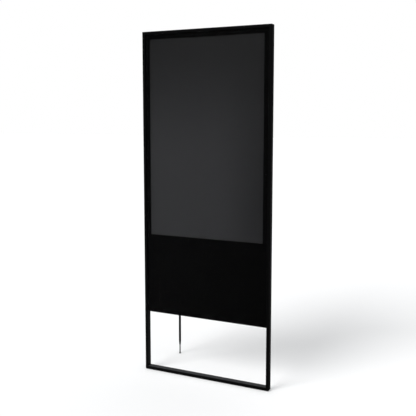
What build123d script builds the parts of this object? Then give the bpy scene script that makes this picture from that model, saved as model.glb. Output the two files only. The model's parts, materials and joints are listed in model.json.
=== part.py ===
from build123d import *
import math
import os

os.makedirs("parts", exist_ok=True)

# Free-standing portrait touchscreen kiosk.
# Origin: middle of the frame's footprint, on the floor. +X right, -Y towards the visitor, +Z up.

# Frame: one welded rectangle of rectangular steel tube on a rubber strip
height = 1850.0
width = 724.0
tube_face = 16.0
tube_depth = 32.0
tube_wall = 1.5
tube_corner = 1.5
frame_corner = 3.0
strip_thickness = 3.0
strip_width = 28.0

# Front: one sheet of glass from the top rail down to the lower rail
panel_bottom = 333.0
screen_bottom = 767.0
border = 41.0
glass_setback = 1.0
glass_thickness = 4.0
glass_gap = 0.5
glass_edge_chamfer = 0.4
print_thickness = 0.3
film_thickness = 0.3
tape_thickness = 1.0
sheet_wall = 1.5

# Display module behind the glass
module_overlap = 9.0
gasket_thickness = 2.6
gasket_width = 5.0
cell_thickness = 3.0
guide_thickness = 4.0
module_tray_depth = 9.0
module_tray_wall = 1.0
module_foot_clearance = 3.0

# Rear housing
housing_inset = 30.0
housing_back = 76.0
housing_corner = 14.0
housing_edge = 6.0
housing_flange = 12.0
housing_end_gap = 15.0
vent_length = 70.0
vent_height = 4.0
vent_pitch = 9.5
vent_count = 8

# Service door in the lower back
door_gap = 2.0
door_flange = 8.0
door_free_edge = -257.0
door_hinge_edge = 324.0
door_hinge_x = 334.0
door_hinge_radius = 4.0
door_pin_radius = 2.0
door_hinge_half = 20.0
running_gap = 0.05
end_gap = 0.2

# Lock in the door
lock_x = -236.0
lock_z = 545.0
lock_body_radius = 9.0
lock_plug_radius = 6.0
lock_flange_radius = 11.0

# Rear leg, which swings on a vertical axis at the back of the left post
leg_axis_x = -346.0
leg_axis_y = 30.0
leg_x = -292.0
leg_y = 270.0
leg_levels = (380.0, 600.0)
leg_radius = 6.5
leg_bore = 5.0
leg_bottom = 86.0
leg_top = 616.0
leg_eye_radius = 8.0
leg_eye_half = 8.0
leg_pin_radius = 4.0
leg_arm_thickness = 6.0
ear_thickness = 4.0
ear_gap = 0.3
ferrule_bottom = 55.0
foot_rod_radius = 3.9
foot_pad_radius = 6.0
foot_pad_height = 5.0

# Planes worked out from the driving dimensions
half_width = width / 2
frame_front = -tube_depth / 2
frame_back = tube_depth / 2
inner_x = half_width - tube_face
inner_top = height - tube_face
rail_top = strip_thickness + tube_face
glass_front = frame_front + glass_setback
glass_back = glass_front + glass_thickness
print_back = glass_back + print_thickness
film_back = print_back + film_thickness
tape_back = print_back + tape_thickness
backing_back = tape_back + sheet_wall
cross_rail_top = screen_bottom - module_overlap - module_foot_clearance
window_x = half_width - border
window_top = height - border
module_x = window_x + module_overlap
module_low = screen_bottom - module_overlap
module_high = window_top + module_overlap
gasket_back = film_back + gasket_thickness
cell_back = gasket_back + cell_thickness
guide_back = cell_back + guide_thickness
module_back = cell_back + module_tray_depth
chassis_back = module_back + sheet_wall
bay_low = panel_bottom + tube_face
bay_high = cross_rail_top - tube_face
bay_sheet = frame_back - sheet_wall
housing_x = half_width - housing_inset
housing_low = cross_rail_top + housing_end_gap
housing_high = inner_top - housing_end_gap
housing_inner_back = housing_back - sheet_wall

nodes = {}


def slab(x, y, z):
    """A block between two positions on each axis."""
    spans = (x, y, z)
    middle = [(low + high) / 2 for low, high in spans]
    size = [high - low for low, high in spans]
    return Pos(*middle) * Box(*size)


def plate(x, z, y, corner):
    """A plate facing along Y, with rounded corners, between two positions on each axis."""
    middle_x = (x[0] + x[1]) / 2
    middle_z = (z[0] + z[1]) / 2
    outline = Plane.XZ * RectangleRounded(x[1] - x[0], z[1] - z[0], corner)
    return Pos(middle_x, y[1], middle_z) * extrude(outline, amount=y[1] - y[0])


def upright(x, y, z, radius):
    """A round bar along Z."""
    return Pos(x, y, (z[0] + z[1]) / 2) * Cylinder(radius, z[1] - z[0])


def level_y(x, z, y, radius):
    """A round bar along Y."""
    return Pos(x, (y[0] + y[1]) / 2, z) * Rot(90, 0, 0) * Cylinder(radius, y[1] - y[0])


def tube_section(across, deep):
    """The hollow section of a rectangular tube, both ways rounded."""
    outer = RectangleRounded(across, deep, tube_corner)
    inner = Rectangle(across - 2 * tube_wall, deep - 2 * tube_wall)
    return outer - inner


def post_tube(x, z):
    section = tube_section(tube_face, tube_depth)
    return Pos(x, 0, z[0]) * extrude(section, amount=z[1] - z[0])


def rail_tube(z, x, y):
    section = Plane.YZ * tube_section(y[1] - y[0], tube_face)
    return Pos(x[0], (y[0] + y[1]) / 2, z) * extrude(section, amount=x[1] - x[0])


def mitre_prism(points):
    """What a frame member keeps between its mitre cuts, as an outline seen from the front."""
    outline = Plane.XZ * Polygon(*points, align=None)
    return extrude(outline, amount=tube_depth, both=True)


def group(solids):
    return Compound(children=list(solids))


# ---------------------------------------------------------------- frame

def frame_outline():
    middle = (strip_thickness + height) / 2
    outline = RectangleRounded(width, height - strip_thickness, frame_corner)
    return Pos(0, 0, middle) * extrude(Plane.XZ * outline, amount=tube_depth, both=True)


def make_frame():
    low, high = strip_thickness, height
    outline = frame_outline()
    screw_holes = [
        level_y(x, z, (0, tube_depth), screw_hole_radius) for x, z in bracket_screw_places()
    ]
    for side, name in ((-1, "left_post"), (1, "right_post")):
        points = [
            (side * half_width, low),
            (side * inner_x, rail_top),
            (side * inner_x, inner_top),
            (side * half_width, high),
        ]
        post = post_tube(side * (half_width - tube_face / 2), (low, high))
        post = post & mitre_prism(points) & outline
        if side < 0:
            post = post - screw_holes
        nodes[name] = post
    for edge, inner, name in ((low, rail_top, "bottom_rail"), (high, inner_top, "top_rail")):
        points = [(-half_width, edge), (half_width, edge), (inner_x, inner), (-inner_x, inner)]
        rail = rail_tube((edge + inner) / 2, (-half_width, half_width), (frame_front, frame_back))
        nodes[name] = rail & mitre_prism(points) & outline
    # Two plain rails join the posts behind the glass, and carry its lower panel and the bay.
    behind = (backing_back, frame_back)
    nodes["lower_rail"] = rail_tube(panel_bottom + tube_face / 2, (-inner_x, inner_x), behind)
    cross = rail_tube(cross_rail_top - tube_face / 2, (-inner_x, inner_x), behind)
    nodes["cross_rail"] = cross - [
        upright(x, cable_plane, (bay_high - tube_wall, cross_rail_top + tube_wall), grommet_radius)
        for x in (mains_cable_x, signal_cable_x)
    ]
    nodes["base_strip"] = slab(
        (-half_width + strip_end, half_width - strip_end),
        (-strip_width / 2, strip_width / 2),
        (0, strip_thickness),
    )


strip_end = 3.0
screw_radius = 2.0
screw_hole_radius = 2.1
grommet_radius = 4.5
cable_plane = 10.6
mains_cable_x = -303.0
signal_cable_x = 30.0
bracket_half = 24.0
bracket_screw_rise = 18.0
bracket_screw_x = -354.0


def bracket_screw_places():
    rises = (-bracket_screw_rise, bracket_screw_rise)
    return [(bracket_screw_x, level + rise) for level in leg_levels for rise in rises]


# ---------------------------------------------------------------- glass and display

ledge_width = 12.0
ledge_thickness = 2.0
tape_width = 10.0
tape_end = 1.0
film_margin = 6.0


def make_glass():
    glass_x = inner_x - glass_gap
    glass_z = (panel_bottom, inner_top - glass_gap)
    glass = slab((-glass_x, glass_x), (glass_front, glass_back), glass_z)
    nodes["touch_glass"] = chamfer(glass.edges(), glass_edge_chamfer)
    print_x = glass_x - glass_edge_chamfer
    print_z = (glass_z[0] + glass_edge_chamfer, glass_z[1] - glass_edge_chamfer)
    sheet = slab((-print_x, print_x), (glass_back, print_back), print_z)
    window = slab((-window_x, window_x), (glass_back, print_back), (screen_bottom, window_top))
    nodes["border_print"] = sheet - window
    film_x = window_x + film_margin
    nodes["touch_film"] = slab(
        (-film_x, film_x),
        (print_back, film_back),
        (screen_bottom - film_margin, window_top + film_margin),
    )


def make_glass_supports():
    """Flat bars inside the posts and under the top rail, and the tape that holds the glass."""
    ledge_y = (tape_back, tape_back + ledge_thickness)
    ledge_z = (cross_rail_top, inner_top)
    ledge_x = inner_x - ledge_width
    sides = [slab(sorted((s * ledge_x, s * inner_x)), ledge_y, ledge_z) for s in (-1, 1)]
    top_x = ledge_x - glass_gap
    top = slab((-top_x, top_x), ledge_y, (inner_top - ledge_width, inner_top))
    nodes["glass_ledges"] = group([*sides, top])

    tape_y = (print_back, tape_back)
    tape_outer = inner_x - tape_end
    tape_inner = tape_outer - tape_width
    tape_z = (panel_bottom + tape_end, inner_top - tape_end)
    strips = [slab(sorted((s * tape_inner, s * tape_outer)), tape_y, tape_z) for s in (-1, 1)]
    across = tape_inner - tape_end
    for z in (panel_bottom + tape_end, cross_rail_top - tape_end - tape_width, tape_z[1] - tape_width):
        strips.append(slab((-across, across), tape_y, (z, z + tape_width)))
    nodes["glass_tape"] = group(strips)
    nodes["backing_panel"] = slab(
        (-inner_x, inner_x), (tape_back, backing_back), (panel_bottom, cross_rail_top)
    )


def make_display():
    film_x = window_x + film_margin
    film_z = (screen_bottom - film_margin, window_top + film_margin)
    gasket = slab((-film_x, film_x), (film_back, gasket_back), film_z)
    hole_x = film_x - gasket_width
    hole_z = (film_z[0] + gasket_width, film_z[1] - gasket_width)
    nodes["screen_gasket"] = gasket - slab((-hole_x, hole_x), (film_back, gasket_back), hole_z)

    module_z = (module_low, module_high)
    nodes["lcd_panel"] = slab((-module_x, module_x), (gasket_back, cell_back), module_z)
    guide_x = module_x - module_tray_wall - glass_gap
    guide_edge = module_tray_wall + glass_gap
    guide_z = (module_low + guide_edge, module_high - guide_edge)
    nodes["light_guide"] = slab((-guide_x, guide_x), (cell_back, guide_back), guide_z)
    tray = slab((-module_x, module_x), (cell_back, module_back), module_z)
    hollow_x = module_x - module_tray_wall
    hollow_z = (module_low + module_tray_wall, module_high - module_tray_wall)
    hollow = slab((-hollow_x, hollow_x), (cell_back, module_back - module_tray_wall), hollow_z)
    nodes["backlight_tray"] = tray - hollow

    chassis = slab((-inner_x, inner_x), (module_back, chassis_back), (cross_rail_top, inner_top))
    holes = [
        level_y(x, z, (module_back, chassis_back), screw_hole_radius) for x, z in cover_screw_places()
    ]
    nodes["chassis_plate"] = chassis - holes


# ---------------------------------------------------------------- rear housing

cover_screw_inset = 6.0
cover_screw_rows = 6
cover_screw_columns = (-220.0, 0.0, 220.0)
screw_head_radius = 3.8
screw_head_height = 2.4
fan_x = 150.0
fan_z = 1700.0
speaker_x = 230.0
speaker_z = 830.0


def cover_screw_places():
    side_x = housing_x + cover_screw_inset
    low = housing_low - cover_screw_inset
    high = housing_high + cover_screw_inset
    step = (high - low) / (cover_screw_rows - 1)
    places = [(s * side_x, low + i * step) for s in (-1, 1) for i in range(cover_screw_rows)]
    return places + [(x, z) for x in cover_screw_columns for z in (low, high)]


def vent_field(x, z):
    """Parallel slots through the housing's back."""
    slots = []
    for i in range(vent_count):
        slot_z = z + (i - (vent_count - 1) / 2) * vent_pitch
        outline = Plane.XZ * SlotOverall(vent_length, vent_height)
        slots.append(Pos(x, housing_back, slot_z) * extrude(outline, amount=2 * sheet_wall))
    return slots


def make_rear_cover():
    z = (housing_low, housing_high)
    outer = plate((-housing_x, housing_x), z, (chassis_back, housing_back), housing_corner)
    back_edges = outer.faces().sort_by(Axis.Y)[-1].edges()
    outer = fillet(back_edges, housing_edge)
    flange_x = housing_x + housing_flange
    flange_z = (z[0] - housing_flange, z[1] + housing_flange)
    flange_y = (chassis_back, chassis_back + sheet_wall)
    outer = outer + plate((-flange_x, flange_x), flange_z, flange_y, tube_corner)
    inner_side = housing_x - sheet_wall
    inner_z = (z[0] + sheet_wall, z[1] - sheet_wall)
    inner = plate(
        (-inner_side, inner_side), inner_z, (chassis_back, housing_inner_back), housing_corner - sheet_wall
    )
    inner = fillet(inner.faces().sort_by(Axis.Y)[-1].edges(), housing_edge - sheet_wall)
    cover = outer - inner
    for x, level in ((fan_x, fan_z), (speaker_x, speaker_z)):
        for side in (-1, 1):
            cover = cover - vent_field(side * x, level)
    cover = cover - [level_y(x, level, flange_y, screw_hole_radius) for x, level in cover_screw_places()]
    cover = cover - [
        upright(x, cable_plane, (z[0] - sheet_wall, z[0] + 2 * sheet_wall), grommet_radius)
        for x in (mains_cable_x, signal_cable_x)
    ]
    nodes["rear_cover"] = cover


def pan_screw(x, z, seat, tip):
    """A pan-head screw whose head sits at seat and whose tip points towards -Y."""
    head = level_y(x, z, (seat, seat + screw_head_height), screw_head_radius)
    head = fillet(head.faces().sort_by(Axis.Y)[-1].edges(), screw_head_height / 2)
    return head + level_y(x, z, (tip, seat), screw_radius)


def make_cover_screws():
    seat = chassis_back + sheet_wall
    nodes["cover_screws"] = group(pan_screw(x, z, seat, module_back) for x, z in cover_screw_places())


# ---------------------------------------------------------------- electronics in the housing

supply_x = (-260.0, -60.0)
supply_z = (880.0, 990.0)
supply_depth = 38.0
board_x = (40.0, 220.0)
board_z = (1010.0, 1140.0)
board_rise = 8.0
board_thickness = 1.6
board_hole_inset = 8.0
standoff_radius = 3.0
control_x = (-45.0, 45.0)
control_z = (1240.0, 1290.0)
control_depth = 12.0
fan_half = 40.0
fan_depth = 25.0
fan_bore_radius = 38.0
fan_tip_radius = 36.5
fan_hub_radius = 17.0
fan_blades = 7
fan_strut = 4.0
fan_blade_thickness = 1.6
fan_blade_turn = 32.0
speaker_half_length = 70.0
speaker_half_height = 24.0
speaker_depth = 44.0


def make_electronics():
    supply = plate(supply_x, supply_z, (chassis_back, chassis_back + supply_depth), tube_corner)
    nodes["power_supply"] = supply
    board_y = chassis_back + board_rise
    nodes["driver_board"] = slab(board_x, (board_y, board_y + board_thickness), board_z)
    corners_x = (board_x[0] + board_hole_inset, board_x[1] - board_hole_inset)
    corners_z = (board_z[0] + board_hole_inset, board_z[1] - board_hole_inset)
    nodes["board_standoffs"] = group(
        level_y(x, z, (chassis_back, board_y), standoff_radius) for x in corners_x for z in corners_z
    )
    nodes["board_components"] = group(board_components(board_y + board_thickness))
    nodes["touch_controller"] = plate(
        control_x, control_z, (chassis_back, chassis_back + control_depth), tube_corner
    )


def board_components(seat):
    """A finned heat sink, a row of capacitors and a connector block on the driver board."""
    sink_x, sink_z, sink_half, sink_base, fin_height, fin_thickness = 120.0, 1085.0, 22.0, 3.0, 9.0, 1.2
    sink_span_z = (sink_z - sink_half, sink_z + sink_half)
    base = slab((sink_x - sink_half, sink_x + sink_half), (seat, seat + sink_base), sink_span_z)
    fin_count = 8
    pitch = (2 * sink_half - fin_thickness) / (fin_count - 1)
    for i in range(fin_count):
        low = sink_x - sink_half + i * pitch
        fin_y = (seat + sink_base, seat + sink_base + fin_height)
        base = base + slab((low, low + fin_thickness), fin_y, sink_span_z)
    parts = [base]
    capacitor_radius, capacitor_height, capacitor_pitch = 5.0, 12.0, 14.0
    for i in range(3):
        place = board_x[1] - 2 * board_hole_inset - i * capacitor_pitch
        parts.append(level_y(place, board_z[0] + 30, (seat, seat + capacitor_height), capacitor_radius))
    connector_x, connector_z, connector_height = (60.0, 90.0), (1020.0, 1030.0), 8.0
    parts.append(slab(connector_x, (seat, seat + connector_height), connector_z))
    return parts


def make_fans():
    fan_y = (housing_inner_back - fan_depth, housing_inner_back)
    frames = []
    for side, name in ((-1, "fan_rotor_left"), (1, "fan_rotor_right")):
        x = side * fan_x
        frame = plate((x - fan_half, x + fan_half), (fan_z - fan_half, fan_z + fan_half), fan_y, fan_strut)
        frame = frame - level_y(x, fan_z, fan_y, fan_bore_radius)
        strut_y = (fan_y[0], fan_y[0] + fan_strut)
        strut_x = (x - fan_bore_radius - 1, x + fan_bore_radius + 1)
        bar = slab(strut_x, strut_y, (fan_z - fan_strut, fan_z + fan_strut))
        cross = Pos(x, 0, fan_z) * Rot(0, 90, 0) * Pos(-x, 0, -fan_z) * bar
        frames.append(frame + bar + cross + level_y(x, fan_z, strut_y, fan_hub_radius))
        nodes[name] = fan_rotor(x, (strut_y[1] + 1, fan_y[1] - fan_strut / 2))
    nodes["fan_frames"] = group(frames)


def fan_rotor(x, y):
    hub = level_y(x, fan_z, y, fan_hub_radius)
    hub = fillet(hub.faces().sort_by(Axis.Y)[-1].edges(), 2)
    rotor = hub
    blade_depth = (y[1] - y[0]) * 0.8
    middle = (y[0] + y[1]) / 2
    reach = (fan_hub_radius + fan_tip_radius) / 2 - 1
    length = fan_tip_radius - fan_hub_radius + 0.5
    for i in range(fan_blades):
        blade = Pos(reach, 0, 0) * Rot(fan_blade_turn, 0, 0) * Box(length, blade_depth, fan_blade_thickness)
        rotor = rotor + Pos(x, middle, fan_z) * Rot(0, i * 360 / fan_blades, 0) * blade
    return rotor


def make_speakers():
    """Closed speaker boxes behind the lower vents, each with a shallow cone recess."""
    boxes = []
    cone_radius, cone_depth, cone_offset = 20.0, 6.0, 36.0
    y = (housing_inner_back - speaker_depth, housing_inner_back)
    for side in (-1, 1):
        x = side * speaker_x
        box = plate(
            (x - speaker_half_length, x + speaker_half_length),
            (speaker_z - speaker_half_height, speaker_z + speaker_half_height), y, fan_strut
        )
        for offset in (-cone_offset, cone_offset):
            box = box - level_y(x + offset, speaker_z, (y[1] - cone_depth, y[1]), cone_radius)
        boxes.append(box)
    nodes["speakers"] = group(boxes)


# ---------------------------------------------------------------- service bay

connection_x = -259.0
inlet_x = -303.0
inlet_z = 490.0
inlet_flange_half = (12.0, 27.0)
inlet_body_half = (11.0, 15.0)
inlet_hollow_half = (8.5, 12.5)
inlet_body_depth = 17.0
inlet_hollow_depth = 15.5
inlet_blade_length = 9.0
panel_fit = 0.2
switch_z = 440.0
switch_half = (9.5, 13.0)
rocker_half = (7.5, 11.0)
rocker_tilt = 8.0
button_z = 397.0
button_radius = 7.0
button_bezel_radius = 11.0
player_x = (-70.0, 110.0)
player_z = (470.0, 590.0)
player_depth = 17.0


def make_connection_plate():
    body = slab((-inner_x, connection_x), (bay_sheet, frame_back), (bay_low, bay_high))
    y = (bay_sheet, frame_back)
    for z, half in ((inlet_z, inlet_body_half), (switch_z, switch_half)):
        half_x, half_z = half[0] + panel_fit, half[1] + panel_fit
        body = body - slab((inlet_x - half_x, inlet_x + half_x), y, (z - half_z, z + half_z))
    body = body - level_y(inlet_x, button_z, y, button_radius + 2 + panel_fit)
    nodes["connection_plate"] = body


def make_power_inlet():
    """A three-blade appliance inlet, on end, with its blades in a rectangular well."""
    flange_depth = 2.0
    flange_x = (inlet_x - inlet_flange_half[0], inlet_x + inlet_flange_half[0])
    flange_z = (inlet_z - inlet_flange_half[1], inlet_z + inlet_flange_half[1])
    mouth = frame_back + flange_depth
    flange = plate(flange_x, flange_z, (frame_back, mouth), 3)
    body = slab(
        (inlet_x - inlet_body_half[0], inlet_x + inlet_body_half[0]),
        (frame_back - inlet_body_depth, frame_back),
        (inlet_z - inlet_body_half[1], inlet_z + inlet_body_half[1]),
    )
    floor = mouth - inlet_hollow_depth
    well = slab(
        (inlet_x - inlet_hollow_half[0], inlet_x + inlet_hollow_half[0]),
        (floor, mouth),
        (inlet_z - inlet_hollow_half[1], inlet_z + inlet_hollow_half[1]),
    )
    nodes["power_inlet"] = flange + body - well
    blade_half_x, blade_half_z, blade_offset, blade_spread = 2.0, 1.0, 2.0, 7.0
    places = ((-blade_offset, -blade_spread), (-blade_offset, blade_spread), (blade_offset, 0.0))
    nodes["inlet_blades"] = group(
        slab(
            (inlet_x + dx - blade_half_x, inlet_x + dx + blade_half_x),
            (floor, floor + inlet_blade_length),
            (inlet_z + dz - blade_half_z, inlet_z + dz + blade_half_z),
        )
        for dx, dz in places
    )


def make_switches():
    """A rocker in its frame, and a round standby button in its bezel."""
    rim = 2.0
    depth = 13.0
    outer_x = (inlet_x - switch_half[0] - rim, inlet_x + switch_half[0] + rim)
    outer_z = (switch_z - switch_half[1] - rim, switch_z + switch_half[1] + rim)
    housing = plate(outer_x, outer_z, (frame_back, frame_back + rim), 2)
    housing = housing + slab(
        (inlet_x - switch_half[0], inlet_x + switch_half[0]),
        (frame_back - depth, frame_back),
        (switch_z - switch_half[1], switch_z + switch_half[1]),
    )
    pocket_gap = 0.5
    pocket_y = (frame_back - depth + rim, frame_back + rim)
    pocket_x = rocker_half[0] + pocket_gap
    pocket_z = rocker_half[1] + 2 * pocket_gap
    housing = housing - slab(
        (inlet_x - pocket_x, inlet_x + pocket_x), pocket_y, (switch_z - pocket_z, switch_z + pocket_z)
    )
    nodes["switch_frame"] = housing
    axle_y = frame_back - 2.0
    rocker = rocker_body(axle_y)
    nodes["switch_rocker"] = Pos(inlet_x, axle_y, switch_z) * Rot(rocker_tilt, 0, 0) * rocker

    bezel = level_y(inlet_x, button_z, (frame_back, frame_back + rim), button_bezel_radius)
    bezel = bezel + level_y(inlet_x, button_z, (frame_back - depth, frame_back), button_radius + rim)
    well_floor = frame_back - depth + rim
    bezel = bezel - level_y(inlet_x, button_z, (well_floor, frame_back + rim), button_radius + running_gap)
    nodes["button_bezel"] = bezel
    button_back = well_floor + 2.5
    cap = level_y(inlet_x, button_z, (button_back, frame_back + 3.0), button_radius)
    nodes["standby_button"] = fillet(cap.faces().sort_by(Axis.Y)[-1].edges(), 0.8)


def rocker_body(axle_y):
    """A rocker about its own axle at the origin, with a dished face, upright."""
    front = frame_back + 3.5 - axle_y
    back = -4.0
    half_x, half_z = rocker_half
    outline = Plane.YZ * Polygon(
        (back, -3.0), (0.0, -half_z + 1.0), (front, -half_z), (front - 1.6, 0.0), (front, half_z),
        (0.0, half_z - 1.0), (back, 3.0), align=None
    )
    return extrude(outline, amount=half_x, both=True)


def make_player():
    player = plate(player_x, player_z, (backing_back, backing_back + player_depth), 4)
    player = fillet(player.faces().sort_by(Axis.Y)[-1].edges(), 2)
    nodes["media_player"] = player


# ---------------------------------------------------------------- service door

door_low = bay_low + door_gap
door_high = bay_high - door_gap
hinge_levels = (bay_low + 70.0, bay_high - 70.0)
leaf_edge = 360.0
cable_notch_half = 7.0


def make_door():
    z = (door_low, door_high)
    door = plate((door_free_edge, door_hinge_edge), z, (frame_back - door_flange, frame_back), tube_corner)
    inner_x_span = (door_free_edge + sheet_wall, door_hinge_edge - sheet_wall)
    inner_z = (z[0] + sheet_wall, z[1] - sheet_wall)
    door = door - slab(inner_x_span, (frame_back - door_flange, bay_sheet), inner_z)
    door = door - level_y(lock_x, lock_z, (bay_sheet, frame_back), lock_body_radius + running_gap)
    door = door - slab(
        (signal_cable_x - cable_notch_half, signal_cable_x + cable_notch_half),
        (frame_back - door_flange, bay_sheet),
        (z[1] - 2 * sheet_wall, z[1]),
    )
    nodes["service_door"] = door


def make_door_hinges():
    axis_y = frame_back + door_hinge_radius
    fixed, moving, pins = [], [], []
    for level in hinge_levels:
        lower = (level - door_hinge_half, level - end_gap / 2)
        upper = (level + end_gap / 2, level + door_hinge_half)
        for store, span, leaf_x in (
            (fixed, lower, (door_hinge_x, leaf_edge)),
            (moving, upper, (door_hinge_x - 34.0, door_hinge_x)),
        ):
            leaf = slab(leaf_x, (frame_back, frame_back + sheet_wall), span)
            leaf = leaf + upright(door_hinge_x, axis_y, span, door_hinge_radius)
            bore = upright(door_hinge_x, axis_y, span, door_pin_radius + running_gap)
            store.append(leaf - bore)
        pin = upright(door_hinge_x, axis_y, (lower[0], upper[1] + end_gap), door_pin_radius)
        head = upright(door_hinge_x, axis_y, (upper[1] + end_gap, upper[1] + 1.7), door_hinge_radius - 0.5)
        pins.append(pin + head)
    nodes["door_hinge_fixed_leaves"] = group(fixed)
    nodes["door_hinge_door_leaves"] = group(moving)
    nodes["door_hinge_pins"] = group(pins)


def make_lock():
    flange_thickness = 2.0
    body_y = (2.0, frame_back)
    body = level_y(lock_x, lock_z, body_y, lock_body_radius)
    body = body + level_y(lock_x, lock_z, (frame_back, frame_back + flange_thickness), lock_flange_radius)
    body = fillet(body.faces().sort_by(Axis.Y)[-1].edges(), 0.6)
    bore_y = (body_y[0], frame_back + flange_thickness)
    body = body - level_y(lock_x, lock_z, bore_y, lock_plug_radius + running_gap)
    nodes["lock_body"] = body
    nut_outline = Plane.XZ * RegularPolygon(13.0, 6)
    nut = Pos(lock_x, bay_sheet, lock_z) * extrude(nut_outline, amount=3.0)
    nodes["lock_nut"] = nut - level_y(lock_x, lock_z, (bay_sheet - 3.0, bay_sheet), lock_body_radius)

    plug = level_y(lock_x, lock_z, (1.0, bore_y[1] - 0.3), lock_plug_radius)
    keyway = slab((lock_x - 0.6, lock_x + 0.6), (bore_y[1] - 9.0, bore_y[1]), (lock_z - 4.0, lock_z + 4.0))
    nodes["lock_plug"] = plug - keyway
    cam_length, cam_half, cam_y, cam_corner = 28.0, 6.0, (-1.0, 1.0), 3
    cam_x = (lock_x - cam_half, lock_x + cam_half)
    nodes["lock_cam"] = plate(cam_x, (lock_z - cam_half, lock_z + cam_length), cam_y, cam_corner)
    keeper_z = (lock_z - 14.0, lock_z + 14.0)
    keeper_x = (-280.0, -262.0)
    keeper = slab(keeper_x, (bay_sheet - 2.0, bay_sheet), keeper_z)
    keeper = keeper + slab((keeper_x[1] - 2.0, keeper_x[1]), (2.0, bay_sheet), keeper_z)
    nodes["lock_keeper"] = keeper


# ---------------------------------------------------------------- rear leg

arm_angle = math.degrees(math.atan2(leg_y - leg_axis_y, leg_x - leg_axis_x))
arm_reach = math.hypot(leg_x - leg_axis_x, leg_y - leg_axis_y)
knob_radius = 9.5
knob_height = 14.0
knob_lobes = 5
knob_lobe_radius = 3.2
knob_boss_radius = 6.2
knob_boss_height = 13.0


def make_leg_brackets():
    brackets, screws = [], []
    ear_reach = leg_eye_half + ear_gap
    for level in leg_levels:
        base_x = (-half_width + 1, leg_axis_x + leg_eye_radius + 2)
        base_y = (frame_back, frame_back + ear_thickness)
        bracket = plate(base_x, (level - bracket_half, level + bracket_half), base_y, 2)
        for low in (level - ear_reach - ear_thickness, level + ear_reach):
            span = (low, low + ear_thickness)
            ear_x = (leg_axis_x - leg_eye_radius, leg_axis_x + leg_eye_radius)
            ear = slab(ear_x, (base_y[1], leg_axis_y), span)
            bracket = bracket + ear + upright(leg_axis_x, leg_axis_y, span, leg_eye_radius)
        bore = (level - bracket_half, level + bracket_half)
        bracket = bracket - upright(leg_axis_x, leg_axis_y, bore, leg_pin_radius + running_gap)
        brackets.append(bracket)
    for x, z in bracket_screw_places():
        screws.append(pan_screw(x, z, frame_back + ear_thickness, frame_back - 4.0))
    holes = [
        level_y(x, z, (frame_back, frame_back + ear_thickness), screw_hole_radius)
        for x, z in bracket_screw_places()
    ]
    nodes["leg_brackets"] = group(bracket - holes for bracket in brackets)
    nodes["bracket_screws"] = group(screws)


def make_leg_pivots():
    ear_reach = leg_eye_half + ear_gap + ear_thickness
    low, high = leg_levels
    pin = upright(leg_axis_x, leg_axis_y, (low - ear_reach - 2.0, low + ear_reach), leg_pin_radius)
    head = (low + ear_reach, low + ear_reach + 2.5)
    pin = pin + upright(leg_axis_x, leg_axis_y, head, leg_pin_radius + 2)
    nodes["leg_pivot_pin"] = pin
    seat = high + ear_reach + end_gap
    span = (seat + knob_boss_height, seat + knob_boss_height + knob_height)
    screw_span = (high - ear_reach - 2.0, span[1] - 4.0)
    nodes["clamp_screw"] = upright(leg_axis_x, leg_axis_y, screw_span, leg_pin_radius)
    knob = upright(leg_axis_x, leg_axis_y, span, knob_radius)
    knob = knob + upright(leg_axis_x, leg_axis_y, (seat, span[0]), knob_boss_radius)
    for i in range(knob_lobes):
        turn = math.radians(i * 360 / knob_lobes)
        x = leg_axis_x + knob_radius * math.cos(turn)
        y = leg_axis_y + knob_radius * math.sin(turn)
        knob = knob + upright(x, y, span, knob_lobe_radius)
    knob = knob - upright(leg_axis_x, leg_axis_y, (seat, screw_span[1]), leg_pin_radius)
    nodes["clamp_knob"] = knob


def make_leg_arms():
    bore = leg_pin_radius + running_gap
    for level, name in zip(leg_levels, ("lower_arm", "upper_arm")):
        span = (level - leg_eye_half, level + leg_eye_half)
        bar = Pos(arm_reach / 2, 0, level) * Box(arm_reach, leg_arm_thickness, 2 * leg_eye_half)
        collar = upright(arm_reach, 0, span, leg_radius + 2)
        arm = bar + upright(0, 0, span, leg_eye_radius) + collar
        arm = arm - upright(0, 0, span, bore) - upright(arm_reach, 0, span, leg_radius)
        nodes[name] = Pos(leg_axis_x, leg_axis_y, 0) * Rot(0, 0, arm_angle) * arm


def make_leg():
    tube = upright(leg_x, leg_y, (leg_bottom, leg_top), leg_radius)
    nodes["leg_tube"] = tube - upright(leg_x, leg_y, (leg_bottom, leg_top), leg_bore)
    cap = upright(leg_x, leg_y, (leg_top, leg_top + 3), leg_radius)
    cap = fillet(cap.faces().sort_by(Axis.Z)[-1].edges(), 2)
    nodes["leg_cap"] = cap + upright(leg_x, leg_y, (leg_top - 12, leg_top), leg_bore)
    tip_radius = foot_rod_radius + 0.8
    taper = Pos(leg_x, leg_y, (ferrule_bottom + leg_bottom) / 2) * Cone(
        tip_radius, leg_radius, leg_bottom - ferrule_bottom
    )
    spigot = upright(leg_x, leg_y, (leg_bottom, leg_bottom + 20), leg_bore)
    bore = upright(leg_x, leg_y, (ferrule_bottom, leg_bottom + 20), foot_rod_radius + running_gap)
    nodes["leg_ferrule"] = taper + spigot - bore
    nodes["foot_rod"] = upright(leg_x, leg_y, (foot_pad_height, leg_bottom + 40), foot_rod_radius)
    pad = upright(leg_x, leg_y, (0, foot_pad_height), foot_pad_radius)
    nodes["foot_pad"] = fillet(pad.faces().sort_by(Axis.Z)[-1].edges(), 1.5)


# ---------------------------------------------------------------- held cables

cable_radius = 3.0


def bend_radii(points):
    """For each corner, the largest arc that takes under half of the shorter run beside it."""
    radii = []
    for before, corner, after in zip(points, points[1:], points[2:]):
        first, second = Vector(*corner) - Vector(*before), Vector(*after) - Vector(*corner)
        half_turn = math.radians(first.get_angle(second)) / 2
        radii.append(0.45 * min(first.length, second.length) / math.tan(half_turn))
    return radii


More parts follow.
